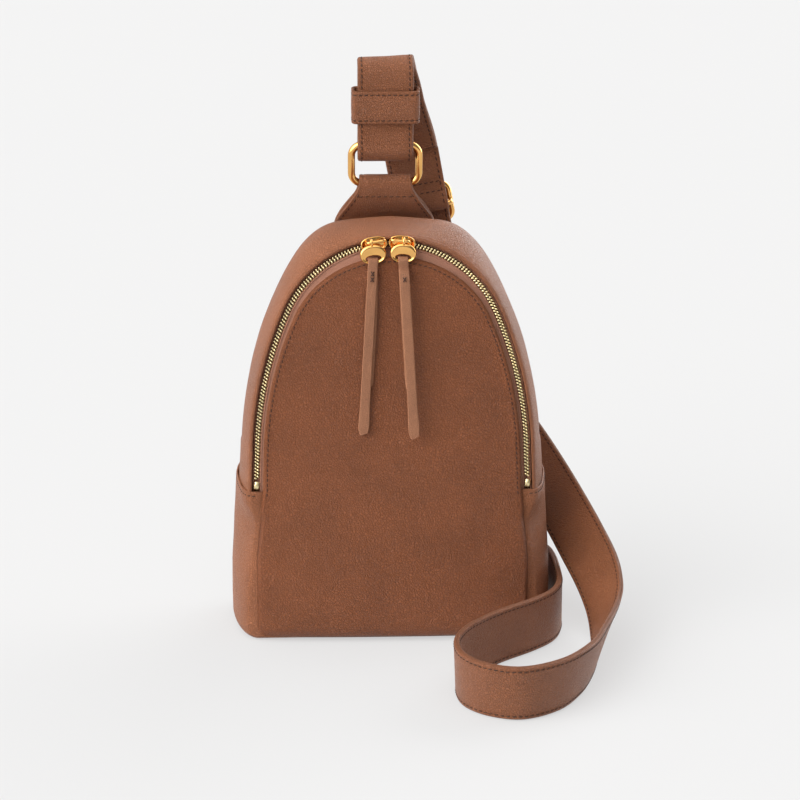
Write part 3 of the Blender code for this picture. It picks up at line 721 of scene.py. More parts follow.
def front_level(x, v, d):
    """Height n of the front leather's face: belly, seams, groove and soft waves."""
    zipped = ease(v, *ZIPPED)
    across = max(0.0, 1 - (abs(x) / half_width(v)) ** 2.4)
    full = lerp(6.4, 2.0, ease(v, 66 * MM, 150 * MM)) * MM
    full *= 0.60 + 0.40 * ease(v, -6 * MM, 36 * MM)
    height = 5.0 * MM + full * across ** 0.75
    height -= 1.5 * MM * zipped * (1 - min(1.0, d / (1.7 * MM))) ** 2.2
    height -= 3.2 * MM * (1 - zipped) * math.exp(-(d / (1.25 * MM)) ** 2)
    height -= 3.4 * MM * math.exp(-((v - BASE_LIFT) / (4.5 * MM)) ** 2)
    height += 0.4 * MM * zipped * (1 - ease(d, 2.6 * MM, 5.2 * MM))
    height -= 0.26 * MM * zipped * math.exp(-((d - STITCH_IN) / (0.5 * MM)) ** 2)
    calm = ease(d, 1 * MM, 7 * MM)
    height += 0.30 * MM * calm * wave(x, v, 0, 34, 4.1)
    height += 0.10 * MM * calm * wave(x, v, 0, 13, 9.3)
    low = (1 - ease(v, 30 * MM, 78 * MM)) * ease(abs(x), 20 * MM, 70 * MM)
    height += 0.34 * MM * calm * low * wave(x * 0.6 + v * 0.9, v * 0.55 - x * 0.5, 0, 9, 2.2)
    return height


def front_sides(inset=0.0, low=BASE_LIFT):
    up, top = split_arch(lambda a, v: panel_gap(a) - inset, HINGE_V)
    return four_sides(6 * MM, FRONT_HALF - inset, low,
                      ([(FRONT_HALF - inset, 50 * MM)] + up, top))


HINGE_REACH = 9 * MM
HINGE = ("root", "flap", front(0, HINGE_V - HINGE_REACH), front(0, HINGE_V + HINGE_REACH))


def seam_shade(v, d):
    """Painted shade down in the seam, with smoother leather there, but not along the zip."""
    return 1.3 * (1 - ease(d, 0.2 * MM, 1.4 * MM)) * (1 - ease(v, *ZIPPED))


# The front leather's seam and rim carry painted shade in its "edge" attribute.
front_leather = panel("front_leather", front_sides(), BANDS, front_level, front, HIDE,
                      rim=((0.0, 0.9 * MM), (0.5 * MM, 1.9 * MM), (3.0 * MM, 2.3 * MM)),
                      shade_and_ripple=seam_shade)
bend(front_leather, HINGE, "leather", "front_panel", "front_flap")

edge_line = front_sides(STITCH_IN)
run = [(front(p.x, p.y, front_level(p.x, p.y, STITCH_IN) + 0.05 * MM), FRONT_NORMAL)
       for side in edge_line[1:] for p in side[:-1] if p.y > 90 * MM]
front_stitches = stitch_mesh("front_panel_stitches", [run])
bend(front_stitches, HINGE, "thread")


def lining_level(x, v, d):
    deep = lerp(1.9, -0.6, ease(v, 88 * MM, 100 * MM)) * MM
    return deep + 0.25 * MM * ease(d, 0, 8 * MM) * wave(x, v, 0, 22, 1.7)


flap_lining = panel("front_lining_cloth", front_sides(4 * MM, 8 * MM), [0, 4 * MM],
                    lining_level, front, LINING,
                    rim=((0.0, 0.5 * MM), (0.5 * MM, 0.6 * MM)))
bend(flap_lining, HINGE, "lining", "front_lining", "flap_lining")


# Back leather and what lies inside it

def back_place(x, v, n):
    return Vector((x, BACK_Y + n, v))


def back_level(x, v, d):
    across = max(0.0, 1 - (abs(x) / BACK_HALF) ** 2) * ease(v, 40 * MM, 100 * MM)
    across *= 1 - ease(v, 190 * MM, 240 * MM)
    height = 0.9 * MM * across
    height -= 2.0 * MM * math.exp(-(d / (1.9 * MM)) ** 2)
    calm = ease(d, 2 * MM, 9 * MM) * (1 - ease(v, 215 * MM, 235 * MM)) * ease(v, 42 * MM, 60 * MM)
    return height + 0.22 * MM * calm * wave(x, v, 5, 40, 6.6)


def back_sides(inset, low):
    up, top = split_arch(lambda a, v: BACK_SEAM - 0.6 * MM - inset, 60 * MM)
    return four_sides(10 * MM, BACK_HALF - 0.4 * MM - inset, low, (up, top), 49, 81)


# Its rim rings carry painted seam shade in the "edge" attribute.
back_leather = panel("back_leather", back_sides(0.0, BASE_LIFT), BANDS, back_level,
                     back_place, HIDE, rim=((0.0, 0.8 * MM), (0.8 * MM, 1.6 * MM)))
ride(back_leather, "root", "leather", "back_panel")

back_cloth = panel("back_lining_cloth", back_sides(4.2 * MM, 9 * MM), [0, 4 * MM],
                   lambda x, v, d: -3.0 * MM + 0.2 * MM * wave(x, v, 0, 24, 8.8),
                   back_place, LINING, rim=((0.0, 0.5 * MM),))
ride(back_cloth, "root", "lining", "back_lining")


def pocket_corner(sx, sv):
    """Quarter of the pocket's round corner, from the outline's middle line outwards."""
    return [(sx * (54 + 8 * math.cos(a)) * MM, (92 + sv * (40 + 8 * math.sin(a))) * MM)
            for a in (math.radians(90 * i / 8) for i in range(9))]


low_right, high_right = pocket_corner(1, -1), pocket_corner(1, 1)
pocket_right = spread(flat(low_right[4::-1] + high_right[:5]), 33)
pocket_bottom = spread(flat([(-x, v) for x, v in low_right[4:]] + low_right[:3:-1]), 41)
pocket_top = spread(flat(high_right[4:] + [(-x, v) for x, v in high_right[:3:-1]]), 41)
pocket_sides = [pocket_bottom, pocket_right, pocket_top,
                [Vector((-p.x, p.y, 0)) for p in pocket_right[::-1]]]


def pocket_level(x, v, d):
    slack = ease(v, 70 * MM, 138 * MM) * max(0.0, 1 - (x / (62 * MM)) ** 2)
    hem = 0.3 * MM * ease(v, 127 * MM, 128.5 * MM)
    return -4.2 * MM - 0.9 * MM * slack - hem + 0.15 * MM * wave(x, v, 0, 18, 3.3)


pocket = panel("slip_pocket_cloth", pocket_sides, [0, 0.5 * MM, 2 * MM, 4 * MM], pocket_level,
               back_place, LINING, rim=((0.0, -0.5 * MM),))
ride(pocket, "root", "lining", "slip_pocket")
tacked = [p for side in (pocket_sides[3][8:], pocket_bottom, pocket_right[:-8]) for p in side]
run = []
for p in tacked:
    q = Vector((p.x * 0.965, 92 * MM + (p.y - 92 * MM) * 0.96, 0))
    run.append((back_place(q.x, q.y, pocket_level(q.x, q.y, 2 * MM) - 0.1 * MM),
                Vector((0, -1, 0))))
ride(stitch_mesh("slip_pocket_stitches", [run], pitch=3.0, reach=2.2, radius=0.22), "root",
     "thread")


# Gussets

def depth_steps(front_mm, middle):
    """Shares of the gusset's depth: fine near both seams."""
    back_mm = (4.5, 3.0, 2.0, 1.3, 0.8, 0.4, 0.0)
    first, last = front_mm[-1] / GUSSET_MM, 1 - back_mm[0] / GUSSET_MM
    inner = [first + (last - first) * i / middle for i in range(1, middle)]
    return [d / GUSSET_MM for d in front_mm] + inner + [1 - d / GUSSET_MM for d in back_mm]


def bulge(u):
    return math.sin(math.pi * u) ** 0.85 if 0 < u < 1 else 0.0


def hoop_point(x, v, u):
    """World point at share u of the way from the front seam back to the back seam."""
    start = front(x, v, PANEL_N - SKIN / 2 - 0.3 * MM)
    back_y = BACK_Y - SKIN - 0.6 * MM
    return Vector((x, start.y + (back_y - start.y) * u, start.z + (v - start.z) * u))


def seam_drop(depth_mm, deep, wide=1.9):
    return deep * MM * math.exp(-(depth_mm / wide) ** 2)


def crest_height(angle, v):
    """How far the upper gusset stands out of its seams: least at the shoulders."""
    low = max(0.0, 150 * MM - (v or 200 * MM)) / (70 * MM)
    shoulder = 4.0 * math.exp(-((abs(angle) - math.radians(52)) / math.radians(16)) ** 2)
    flank = 0.9 * max(0.0, abs(angle) - math.radians(66)) / math.radians(22)
    square = 3.6 * math.exp(-((abs(angle) - math.radians(27)) / math.radians(12)) ** 2)
    square += 6.6 * math.exp(-((abs(angle) - math.radians(46)) / math.radians(19)) ** 2)
    return TOP_BULGE + (2.0 * low ** 1.3 + flank + square - shoulder) * MM


def upper_offset(u, angle, v):
    """How far outside the zip line the upper gusset's face runs at depth u."""
    crest = crest_height(angle, v) - 0.3 * MM
    return ZIP_FOLD + (BACK_SEAM - ZIP_FOLD) * u + crest * bulge(u)


def upper_points(u, inset, lap, wavy=1.0, **steps):
    """Hoop of the upper gusset at depth u, from its left lap over the top to the right."""
    depth = u * GUSSET_MM

    def offset(angle, v):
        return upper_offset(u, angle, v) - inset
    bottom = LAP_FRONT_Z + (LAP_BACK_Z - LAP_FRONT_Z) * u + lap
    drop = 1.0 * MM * (1 - min(1.0, depth / 1.8)) ** 2 + seam_drop(GUSSET_MM - depth, 1.5)
    drop += 0.24 * MM * math.exp(-((depth - STITCH_IN / MM) / 0.5) ** 2)
    hoop = []
    for x, v in arch(offset, bottom, **steps):
        p = hoop_point(x, v, u)
        out = Vector((x, 0, (v - 150 * MM) * 0.75)).normalized()
        calm = ease(u, 0.03, 0.2) * (1 - ease(u, 0.85, 0.98)) * wavy
        soft = 0.55 * wave(p.x, p.y, p.z, 42, 5.5) + 0.16 * wave(p.x, p.y, p.z, 15, 7.7)
        hoop.append(p + out * (soft * calm * MM - drop * wavy))
    return hoop


def narrowing(v):
    """How much the lower gusset draws in on each side towards the lap."""
    return 3.5 * MM * max(0.0, v - 42 * MM) / (50 * MM)


def low_bulge(u, v):
    """The lower gusset's bulge, which is squarer towards the base."""
    return bulge(u) ** lerp(0.5, 1.0, ease(v, 20 * MM, 85 * MM))


def side_half(u, v, inset=0.0):
    """Half the lower gusset's width at depth u and height v."""
    full = FRONT_HALF + (BACK_HALF - FRONT_HALF) * u + SIDE_BULGE * low_bulge(u, v)
    return full - inset - narrowing(v)


def over_upper(u, v, inset, share):
    """Point of the lower gusset; share 1 lays it on top of the upper one, to the front seam."""
    def outside(u):
        plain = side_half(u, v, inset)
        x = foot_point(1.0, v, upper_offset(u, FOOT, v) + 1.5 * MM)[0]
        return lerp(plain, max(plain, x), share)
    corner = 6.0 / GUSSET_MM
    if u >= corner or not share:
        return hoop_point(outside(u), v, u)
    t = u / corner
    edge = side_half(0.0, v)
    seam = front(edge, v, PANEL_N - 1.2 * MM)
    over = front(edge + 9.0 * MM, v, PANEL_N + 2.2 * MM)
    end = hoop_point(outside(corner), v, corner)
    wrapped = seam * (1 - t) ** 2 + over * 2 * t * (1 - t) + end * t ** 2
    return hoop_point(side_half(u, v), v, u).lerp(wrapped, share)


def lower_points(u, inset, lap, wavy=1.0, side_steps=26, bend=12, floor_steps=26):
    """Hoop of the lower gusset at depth u: from the right lap down, under and up."""
    depth = u * GUSSET_MM
    half = side_half(u, 0.0, inset)
    corner = (6 + 2.5 * bulge(u)) * MM - inset * 0.3
    lift = max(0.0, 1 - u / 0.12, 1 - (1 - u) / 0.12)
    floor = BASE_LIFT * lift ** 2 + inset
    top = LAP_FRONT_Z + (LAP_BACK_Z - LAP_FRONT_Z) * u - lap
    drop = (seam_drop(depth, 2.8, 1.3) + seam_drop(GUSSET_MM - depth, 1.8)) * wavy
    run = [0.0, 0.35, 0.9, 1.7, STITCH_IN / MM, 3.6, 5.5]
    down = [top - d * MM for d in run]
    low = floor + corner
    down += [down[-1] + (low - down[-1]) * i / side_steps for i in range(1, side_steps + 1)]
    right = []
    for v in down:
        lapped = 0.15 * MM - 0.45 * MM * (1 - min(1.0, (top - v) / (0.9 * MM))) ** 2
        lapped -= 0.24 * MM * math.exp(-((top - v - STITCH_IN) / (0.5 * MM)) ** 2)
        lapped *= wavy
        p = over_upper(u, v, inset, wavy * (1 - ease(top - v, 5 * MM, 24 * MM)))
        calm = ease(u, 0.03, 0.2) * (1 - ease(u, 0.85, 0.98)) * wavy * ease(v, 10 * MM, 30 * MM)
        soft = 0.5 * wave(1.0 + p.y, p.y, p.z, 36, 3.1) + 0.2 * wave(p.y, 1.0, p.z, 13, 6.4)
        right.append(p + Vector((lapped - drop + soft * calm * MM, 0, 0)))
    for i in range(1, bend + 1):
        a = math.radians(-90 * i / bend)
        p = hoop_point(half - corner + corner * math.cos(a), floor + corner + corner * math.sin(a),
                       u)
        right.append(p + Vector((-drop * math.cos(a), 0, -drop * math.sin(a) * 0.5)))
    for i in range(1, floor_steps + 1):
        x = (half - corner) * (1 - i / floor_steps)
        right.append(hoop_point(x, floor, u) + Vector((0, 0, drop * 0.5)))
    return right + [Vector((-p.x, p.y, p.z)) for p in right[-2::-1]]


def turned_grid(hoops):
    """Hoops (one per depth) as rows along the hoop."""
    return [list(row) for row in zip(*hoops)]


FOLD_DEPTHS = depth_steps((0.0, 0.3, 0.8, 1.4, 2.1, 2.6, 3.1, 3.9, 6.0), 24)
upper_grid = turned_grid([upper_points(u, 0.0, -6 * MM) for u in FOLD_DEPTHS])
# Both gussets get painted shade along their seams and folds (edge_rows 0.5).
upper_leather, _ = skinned("upper_gusset_leather", upper_grid, SKIN, SIDE_HIDE, 0.5)
ride(upper_leather, "root", "leather", "upper_gusset")

lower_grid = turned_grid([lower_points(u, 0.0, -1.5 * MM) for u in FOLD_DEPTHS])
lower_leather, lower_normals = skinned("lower_gusset_leather", lower_grid, SKIN * 0.7, SIDE_HIDE,
                                       0.5)
ride(lower_leather, "root", "leather", "lower_gusset")

LAP_ROW = 4  # the row of the lower gusset that lies STITCH_IN below a lap's edge
laps = [[(p + n * 0.05 * MM, n) for p, n in list(zip(lower_grid[r], lower_normals[r]))[3:-4]]
        for r in (LAP_ROW, -1 - LAP_ROW)]
ride(stitch_mesh("gusset_stitches", laps), "root", "thread")

inner = [0.13 + 0.845 * i / 12 for i in range(13)]
for name, node, hoops in (
        ("upper_lining_cloth", "upper_lining",
         [upper_points(u, 3.9 * MM, 0.0, 0.0, feet=6, flank=14, crown=16) for u in inner]),
        ("lower_lining_cloth", "lower_lining",
         [lower_points(u, 5.5 * MM, 1.0 * MM, 0.0, 8, 6, 8) for u in inner])):
    cloth, _ = skinned(name, turned_grid(hoops), 0.6 * MM, LINING)
    ride(cloth, "root", "lining", node)
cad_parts["base_board"].data.materials.clear()
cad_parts["base_board"].data.materials.append(BOARD)


# The zip

def ringed(wide, tall, cut):
    """Rectangle's outline about its centre with cut corners, anticlockwise."""
    return [(wide, tall - cut), (wide - cut, tall), (cut - wide, tall), (-wide, tall - cut),
            (-wide, cut - tall), (cut - wide, -tall), (wide - cut, -tall), (wide, cut - tall)]


# A tooth from its tape to its tip: distance, half width and half height in millimetres
TOOTH = ((-1.10, 0.30, 0.42), (-0.90, 0.50, 0.68), (0.1, 0.50, 0.85), (0.75, 0.54, 0.80),
         (1.05, 0.36, 0.46))
TOOTH_PITCH = 2.05 * MM


def tooth_row(name, sign):
    """One row of slanted teeth, each gripping its tape; sign is 1 for the outer row."""
    path = flat(arch(lambda a, v: sign * 0.85 * MM, ZIP_END_V + 4 * MM))
    places = spread(path, 2 * int(travelled(path)[-1] / TOOTH_PITCH) + 1)
    verts, faces = [], []
    for k in range(1 if sign > 0 else 2, len(places) - 1, 2):
        along = (places[k + 1] - places[k - 1]).normalized()
        out = Vector((-along.y, along.x, 0))
        reach = (out * -sign + along * 0.34 * -sign).normalized()
        wide = Vector((-reach.y, reach.x, 0))
        first = len(verts)
        for far, half, tall in TOOTH:
            for a, n in ringed(half * MM, tall * MM, 0.2 * MM):
                p = places[k] + reach * far * MM + wide * a
                verts.append(front(p.x, p.y, n))
        faces += tube_faces(len(TOOTH), 8, first)
    return tidy(build(name, verts, faces, TEETH_GOLD), 50)


ride(tooth_row("zip_teeth_outer_row", 1), "root", "zip_teeth", "teeth_outer")
ride(tooth_row("zip_teeth_inner_row", -1), "flap", "zip_teeth", "teeth_inner")


def tape(name, profile, bottom):
    """Zip tape along the arch; profile lists its (offset, n) across in millimetres."""
    lines = [arch(lambda a, v, o=offset: o * MM, bottom) for offset, _ in profile]
    sections, uvs = [], []
    run = 0.0
    for i, across in enumerate(zip(*lines)):
        if i:
            run += (Vector(lines[0][i]) - Vector(lines[0][i - 1])).length / MM
        top = []
        for (offset, n), (x, v) in zip(profile, across):
            top.append((x, v, n * MM + 0.12 * MM * wave(x, v, 0, 11, offset)))
        under = [(x, v, n - 0.6 * MM) for x, v, n in top[::-1]]
        sections.append([front(*p) for p in top + under])
        sides = [offset for offset, _ in profile]
        uvs += [(run, side) for side in sides + sides[::-1]]
    return lofted(name, sections, WEAVE, uvs=uvs)


inner_tape = tape("zip_tape_inner_weave",
                  ((-9.2, 2.2), (-7.8, 1.9), (-6.4, 1.5), (-5.2, 1.1), (-4.0, 0.75),
                   (-3.0, 0.45), (-2.8, 0.7), (-2.5, 0.85), (-2.2, 0.75), (-2.0, 0.3),
                   (-1.8, -1.3), (-0.1, -1.5)),
                  HINGE_V - 6 * MM)
bend(inner_tape, HINGE, "zip_tape", "zip_tape_inner")
ride(tape("zip_tape_outer_weave",
          ((0.1, -1.5), (1.8, -1.3), (2.0, 0.2), (2.3, 0.1), (2.6, -1.2), (3.0, -4.6)),
          LAP_FRONT_Z - 3 * MM), "root", "zip_tape", "zip_tape_outer")


def pillow(name, size, place, finish, cut=0.3):
    """Small block with chamfered edges; place maps its own (a, b, c) to the world."""
    wide, tall, deep = (s / 2 for s in size)
    sections = []
    for level, inset in ((-deep, cut), (cut * MM - deep, 0.0), (deep - cut * MM, 0.0),
                         (deep, cut)):
        inset *= MM
        sections.append([place(a, b, level) for a, b in
                         ringed(wide - inset, tall - inset, cut * MM)])
    return tidy(lofted(name, sections, finish), 40)


for side, sign in (("left", -1.0), ("right", 1.0)):
    x, v = foot_point(sign, ZIP_END_V)

    def on_stop(a, b, c, x=x, v=v):
        return front(x + a + b * 0.25, v + b - a * 0.25, c)
    ride(pillow("stop_block_" + side, (3.5 * MM, 5.4 * MM, 2.5 * MM), on_stop, TEETH_GOLD, 0.5),
         "root", "hardware", "zip_stop_" + side)


# Sliders, pulls and tabs

def oval(a, wide, tall, power=2.0):
    """Point of a superellipse at angle a."""
    c, s = math.cos(a), math.sin(a)
    return (wide * math.copysign(abs(c) ** (2 / power), c),
            tall * math.copysign(abs(s) ** (2 / power), s))


PLATE_RINGS = ((0.90, 3.3), (1.0, 3.5), (1.01, 4.2), (0.985, 4.75), (0.93, 4.95), (0.87, 4.75),
               (0.83, 4.35), (0.6, 4.4), (0.3, 4.7), (0.02, 4.8))


def slider(side):
    """Slider: rimmed plate, neck between the tapes, lower guide rail and the pull's bar."""
    angle = SLIDER_ANGLES[side]
    inward = 1.0 if side == "left" else -1.0
    sin, cos = math.sin(angle), math.cos(angle)

    def place(a, b, c):
        a *= inward
        return front((CROWN_R + b) * sin + a * cos, CROWN_V + (CROWN_R + b) * cos - a * sin, c)

    def outline(share, n):
        return [place(x + 0.4 * MM, y + 0.8 * MM, n * MM) for x, y in
                (oval(2 * math.pi * i / 48, 7.9 * MM * share, 4.7 * MM * share, 2.5)
                 for i in range(48))]
    pieces = [tidy(lofted("plate", [outline(*ring) for ring in PLATE_RINGS], GOLD), 60),
              pillow("neck", (9 * MM, 4.4 * MM, 2.6 * MM),
                     lambda a, b, c: place(a, b, c + 2.6 * MM), GOLD),
              pillow("rail", (13.6 * MM, 1.2 * MM, 2.2 * MM),
                     lambda a, b, c: place(a - 0.8 * MM, b - 3.4 * MM, c + 2.5 * MM), GOLD)]
    bar = [(-3.4, 4.0), (-3.4, 6.6), (-3.1, 7.8), (-2.2, 8.3), (-0.5, 8.3), (2.0, 8.3),
           (4.2, 8.3), (5.8, 8.3), (6.7, 7.8), (7.0, 6.6), (7.0, 4.0)]
    path = [place(a * MM, PIVOT_UP, n * MM) for a, n in curved(bar, 3)]
    pieces.append(wire("bar", path, 0.95 * MM, GOLD))
    ride(joined("slider_body_" + side, pieces), "slider_" + side, "hardware", "slider_" + side)


DISC_FACE = ((0.0, 0.0), (0.03, 0.62), (0.08, 1.05), (0.16, 1.4), (0.27, 1.55), (0.40, 1.42),
             (0.55, 1.1), (0.72, 0.85), (0.86, 0.88), (0.95, 0.75), (1.0, 0.3), (1.0, -0.3),
             (0.93, -0.75), (0.6, -0.95), (0.25, -0.95), (0.08, -0.7), (0.02, -0.4))


def pull(side, turned):
    """Domed oval disc with a half-moon slot, and the eye that holds it to the bar."""
    x, v = zip_point(SLIDER_ANGLES[side], PIVOT_UP)
    tilt = math.radians(turned)

    def place(a, b, c):
        b += 7.1 * MM
        a, b = a * math.cos(tilt) - b * math.sin(tilt), a * math.sin(tilt) + b * math.cos(tilt)
        return front(x + a, v + b - 7.1 * MM, PIVOT_N + c)
    sections = []
    for i in range(56):
        a = 2 * math.pi * i / 56
        ox, oy = oval(a, 7.9, 5.9, 2.15)
        ix, iy = oval(a, 4.5, 1.75 if math.sin(a) > 0 else 1.25, 2.0 if math.sin(a) > 0 else 3.4)
        rim = 0.72 + 0.28 * ease(math.sin(a), -0.8, 0.4)
        sections.append([place(lerp(ox, ix, s) * MM, lerp(oy - 7.1, iy - 9.65, s) * MM,
                               n * rim * MM) for s, n in DISC_FACE])
    eye = [place(0.0, 1.95 * MM * math.cos(a), 1.95 * MM * math.sin(a))
           for a in (2 * math.pi * i / 24 for i in range(24))]
    pieces = [lofted("disc", sections, GOLD, cyclic=True),
              wire("eye", eye, 0.75 * MM, GOLD, cyclic=True, sides=10)]
    ride(joined("pull_disc_" + side, pieces), "pull_" + side, "hardware", "pull_" + side)


slider("left")
slider("right")
pull("left", 7)
pull("right", -3)


# Straps: bands with burnished edges and a line of stitches inside each edge

BURNISH = [0.35, 0.8, 1.0, 1.0, 1.0, 0.8, 0.35]  # the "edge" attribute round a strap's edge


def station(x, y, z, wx, wy, wz, half):
    return [x, y, z, wx, wy, wz, half]


class Band:
    """Leather strip through stations of centre, width direction and half width, in mm."""

    def __init__(self, stations, thickness, steps=4):
        rows = curved(stations, steps)
        self.thick = thickness
        self.middle = [Vector(row[:3]) * MM for row in rows]
        self.half = [row[6] * MM for row in rows]
        self.across, self.up = [], []
        for row, along in zip(rows, tangents(self.middle)):
            wide = Vector(row[3:6])
            wide = (wide - along * wide.dot(along)).normalized()
            self.across.append(wide)
            self.up.append(along.cross(wide))

    def at(self, i, a, b):
        return self.middle[i] + self.across[i] * a + self.up[i] * b

    def body(self, name, finish, groove=STITCH_IN, seam=0.3, shade_and_ripple=0.12):
        """The strip's mesh: dips under the stitches, round edges with a seam between plies."""
        t = self.thick / 2
        sections, edge = [], []
        for i, half in enumerate(self.half):
            low = half - t * 0.75
            face = [(-low, 0.06)]
            if groove:
                face += [(-(half - groove + 0.7 * MM), 0.02), (-(half - groove), 0.22),
                         (-(half - groove - 0.7 * MM), 0.02), (-half * 0.62, -0.04)]
            else:
                face.append((-low + (half - low) * 0.6, 0.0))
            face.append((-half * 0.3, 0.0))
            face += [(-a, drop) for a, drop in face[::-1]]
            # The last argument only sets how far the strip ripples; it paints no shade here.
            soft = shade_and_ripple * MM * wave(*self.middle[i], 17, 2.9)
            upper = [(a, t - drop * MM + soft) for a, drop in face]
            lower = [(-a, -t + drop * MM + soft) for a, drop in face]
            turn = [(low + (half - low) * math.cos(math.radians(d)),
                     t * math.sin(math.radians(d)) * 0.98) for d in (60, 32, 10, 0, -10, -32, -60)]
            turn[3] = (turn[3][0] - seam * MM, 0.0)
            right = [(a, b + soft) for a, b in turn]
            left = [(-a, -b + soft) for a, b in turn]
            sections.append([self.at(i, a, b) for a, b in upper + right + lower + left])
            edge += ([0.0] * len(upper) + BURNISH) * 2
        return tidy(lofted(name, sections, finish, edge=edge), 75)

    def line(self, inset, face, start=0, end=None):
        """Run for stitches at a distance inside an edge; the sign of inset picks the edge."""
        picked = range(len(self.middle))[start:end]
        side = 1 if inset > 0 else -1
        return [(self.at(i, side * self.half[i] - inset, face * (self.thick / 2 - 0.1 * MM)),
                 self.up[i] * face) for i in picked]

    def cross_line(self, i, face):
        """Run for stitches straight across the strip at row i."""
        half = self.half[i] - STITCH_IN
        return [(self.at(i, half * s / 4, face * (self.thick / 2 - 0.05 * MM)),
                 self.up[i] * face) for s in range(-4, 5)]


def both_edges(band, faces=(1, -1), **span):
    return [band.line(side * STITCH_IN, face, **span) for face in faces for side in (1, -1)]


def box_outline(wide, tall, corner, pieces):
    """Rounded rectangle as (a, b, outward a, outward b), anticlockwise; sides in pieces."""
    made = []
    for quarter, (sx, sy) in enumerate(((1, 1), (-1, 1), (-1, -1), (1, -1))):
        for i in range(9):
            a = math.radians(90 * (quarter + i / 8))
            made.append((sx * (wide / 2 - corner) + corner * math.cos(a),
                         sy * (tall / 2 - corner) + corner * math.sin(a),
                         math.cos(a), math.sin(a)))
    full = []
    for p, q in zip(made, made[1:] + made[:1]):
        count = pieces if math.hypot(q[0] - p[0], q[1] - p[1]) > 3 * MM else 1
        full += [tuple(lerp(m, n, k / count) for m, n in zip(p, q)) for k in range(count)]
    return full


def ring_wire(name, body, node, centre, right, up, wide, tall, radius, corner, extra=()):
    """Rounded rectangular ring about its centre, in the plane of `right` and `up`."""
    path = [centre + right * a + up * b for a, b, *_ in
            box_outline(wide - 2 * radius, tall - 2 * radius, corner, 6)]
    ring = wire(name, path, radius, GOLD, cyclic=True, sides=18)
    if extra:
        ring = joined(name, [ring, *extra])
    ride(ring, body, "hardware", node)


RING_FOOT = Vector((-2.0, 35.0, 274.0)) * MM
RING_HEAD = Vector((-2.0, 30.0, 298.9)) * MM
climb = (RING_HEAD - RING_FOOT).normalized()
ring_wire("top_ring_wire", "ring", "top_ring", (RING_HEAD + RING_FOOT) / 2,
          Vector((1, 0, 0)), climb, 46.6 * MM, 30 * MM, 2.3 * MM, 7 * MM)
ring_wire("lower_ring_wire", "lower_ring", "lower_ring", Vector((34.8, 51.5, 23.7)) * MM,
          Vector((0, 0, 1)), Vector((1, 0, 0)), 46.6 * MM, 30 * MM, 2.3 * MM, 7 * MM)

chape = Band([station(-2.0, y, z, 1, 0, 0, half) for y, z, half in (
    (44.35, 234, 33.5), (44.35, 245, 32.2), (40.6, 252.0, 29.8), (35.6, 257.5, 26.2),
    (31.9, 263.5, 22.0), (30.3, 269.5, 18.2), (30.3, 274.5, 16.5), (35.0, 278.6, 16.2),
    (39.7, 274.0, 16.5), (40.8, 268.0, 18.8), (43.6, 261.0, 24.2), (46.6, 254.0, 29),
    (47.0, 247, 32), (47.0, 234, 33.5))], 2.2 * MM, 6)
ride(chape.body("top_chape_leather", STRAP_HIDE), "root", "leather", "top_chape")
chape_out = 1 if chape.up[14].y < 0 else -1
cross_row = min(range(34), key=lambda i: abs(chape.middle[i].z - 0.2665))
runs = both_edges(chape, faces=(chape_out,), start=4, end=30)
runs.append(chape.cross_line(cross_row, chape_out))
ride(stitch_mesh("top_chape_stitches", runs, *STRAP_STITCH), "root", "thread")

SLANT = 0.227  # how much the strap's width slopes where it hangs beside the ring
# The strap's upper part from behind the bag over its fold and through the ring:
# x, y, z and the slant of its width, in millimetres
LOOP_PATH = (
    (30.5, 64.5, 210.0, 0.28), (26.6, 63.0, 232.0, 0.23),
    (24.6, 63.0, 240.0, SLANT), (21.9, 63.0, 254.5, SLANT), (17.0, 63.0, 281.0, SLANT),
    (13.4, 59.4, 298.0, SLANT), (6.6, 48.7, 319.0, SLANT), (2.0, 38.8, 336.0, 0.18),
    (-0.8, 31.5, 347.6, 0.1), (-2.0, 24.4, 352.2, 0.04), (-2.0, 17.9, 347.0, 0.0),
    (-2.0, 19.0, 336.0, 0.0), (-2.0, 21.9, 320.0, 0.0), (-2.0, 25.0, 302.0, 0.0),
    (-2.0, 26.0, 294.5, 0.0), (-2.0, 30.2, 290.3, 0.0), (-2.0, 34.4, 294.5, 0.0),
    (-2.0, 34.0, 301.0, 0.0), (-2.0, 29.5, 308.0, 0.0), (-2.0, 27.2, 314.5, 0.0),
    (-2.0, 24.2, 333.0, 0.0), (-2.0, 22.4, 343.0, 0.0), (-1.7, 25.0, 347.4, 0.04),
    (0.2, 29.6, 342.2, 0.12), (3.6, 36.6, 331.0, 0.2), (6.8, 43.9, 317.8, SLANT),
    (12.8, 54.0, 298.0, SLANT), (14.5, 56.6, 291.0, SLANT))
HALF = STRAP_WIDE / 2 / MM
upper = Band([station(x, y, z, 1, 0, tilt, HALF) for x, y, z, tilt in LOOP_PATH], STRAP_THICK, 6)

BEHIND_RING = ("strap", "ring", (0.0262, 0.063, 0.236), (0.0305, 0.0645, 0.212))
bend(upper.body("upper_strap_leather", STRAP_HIDE), BEHIND_RING, "leather", "strap_loop")
bend(stitch_mesh("upper_strap_stitches", both_edges(upper), *STRAP_STITCH), BEHIND_RING, "thread")

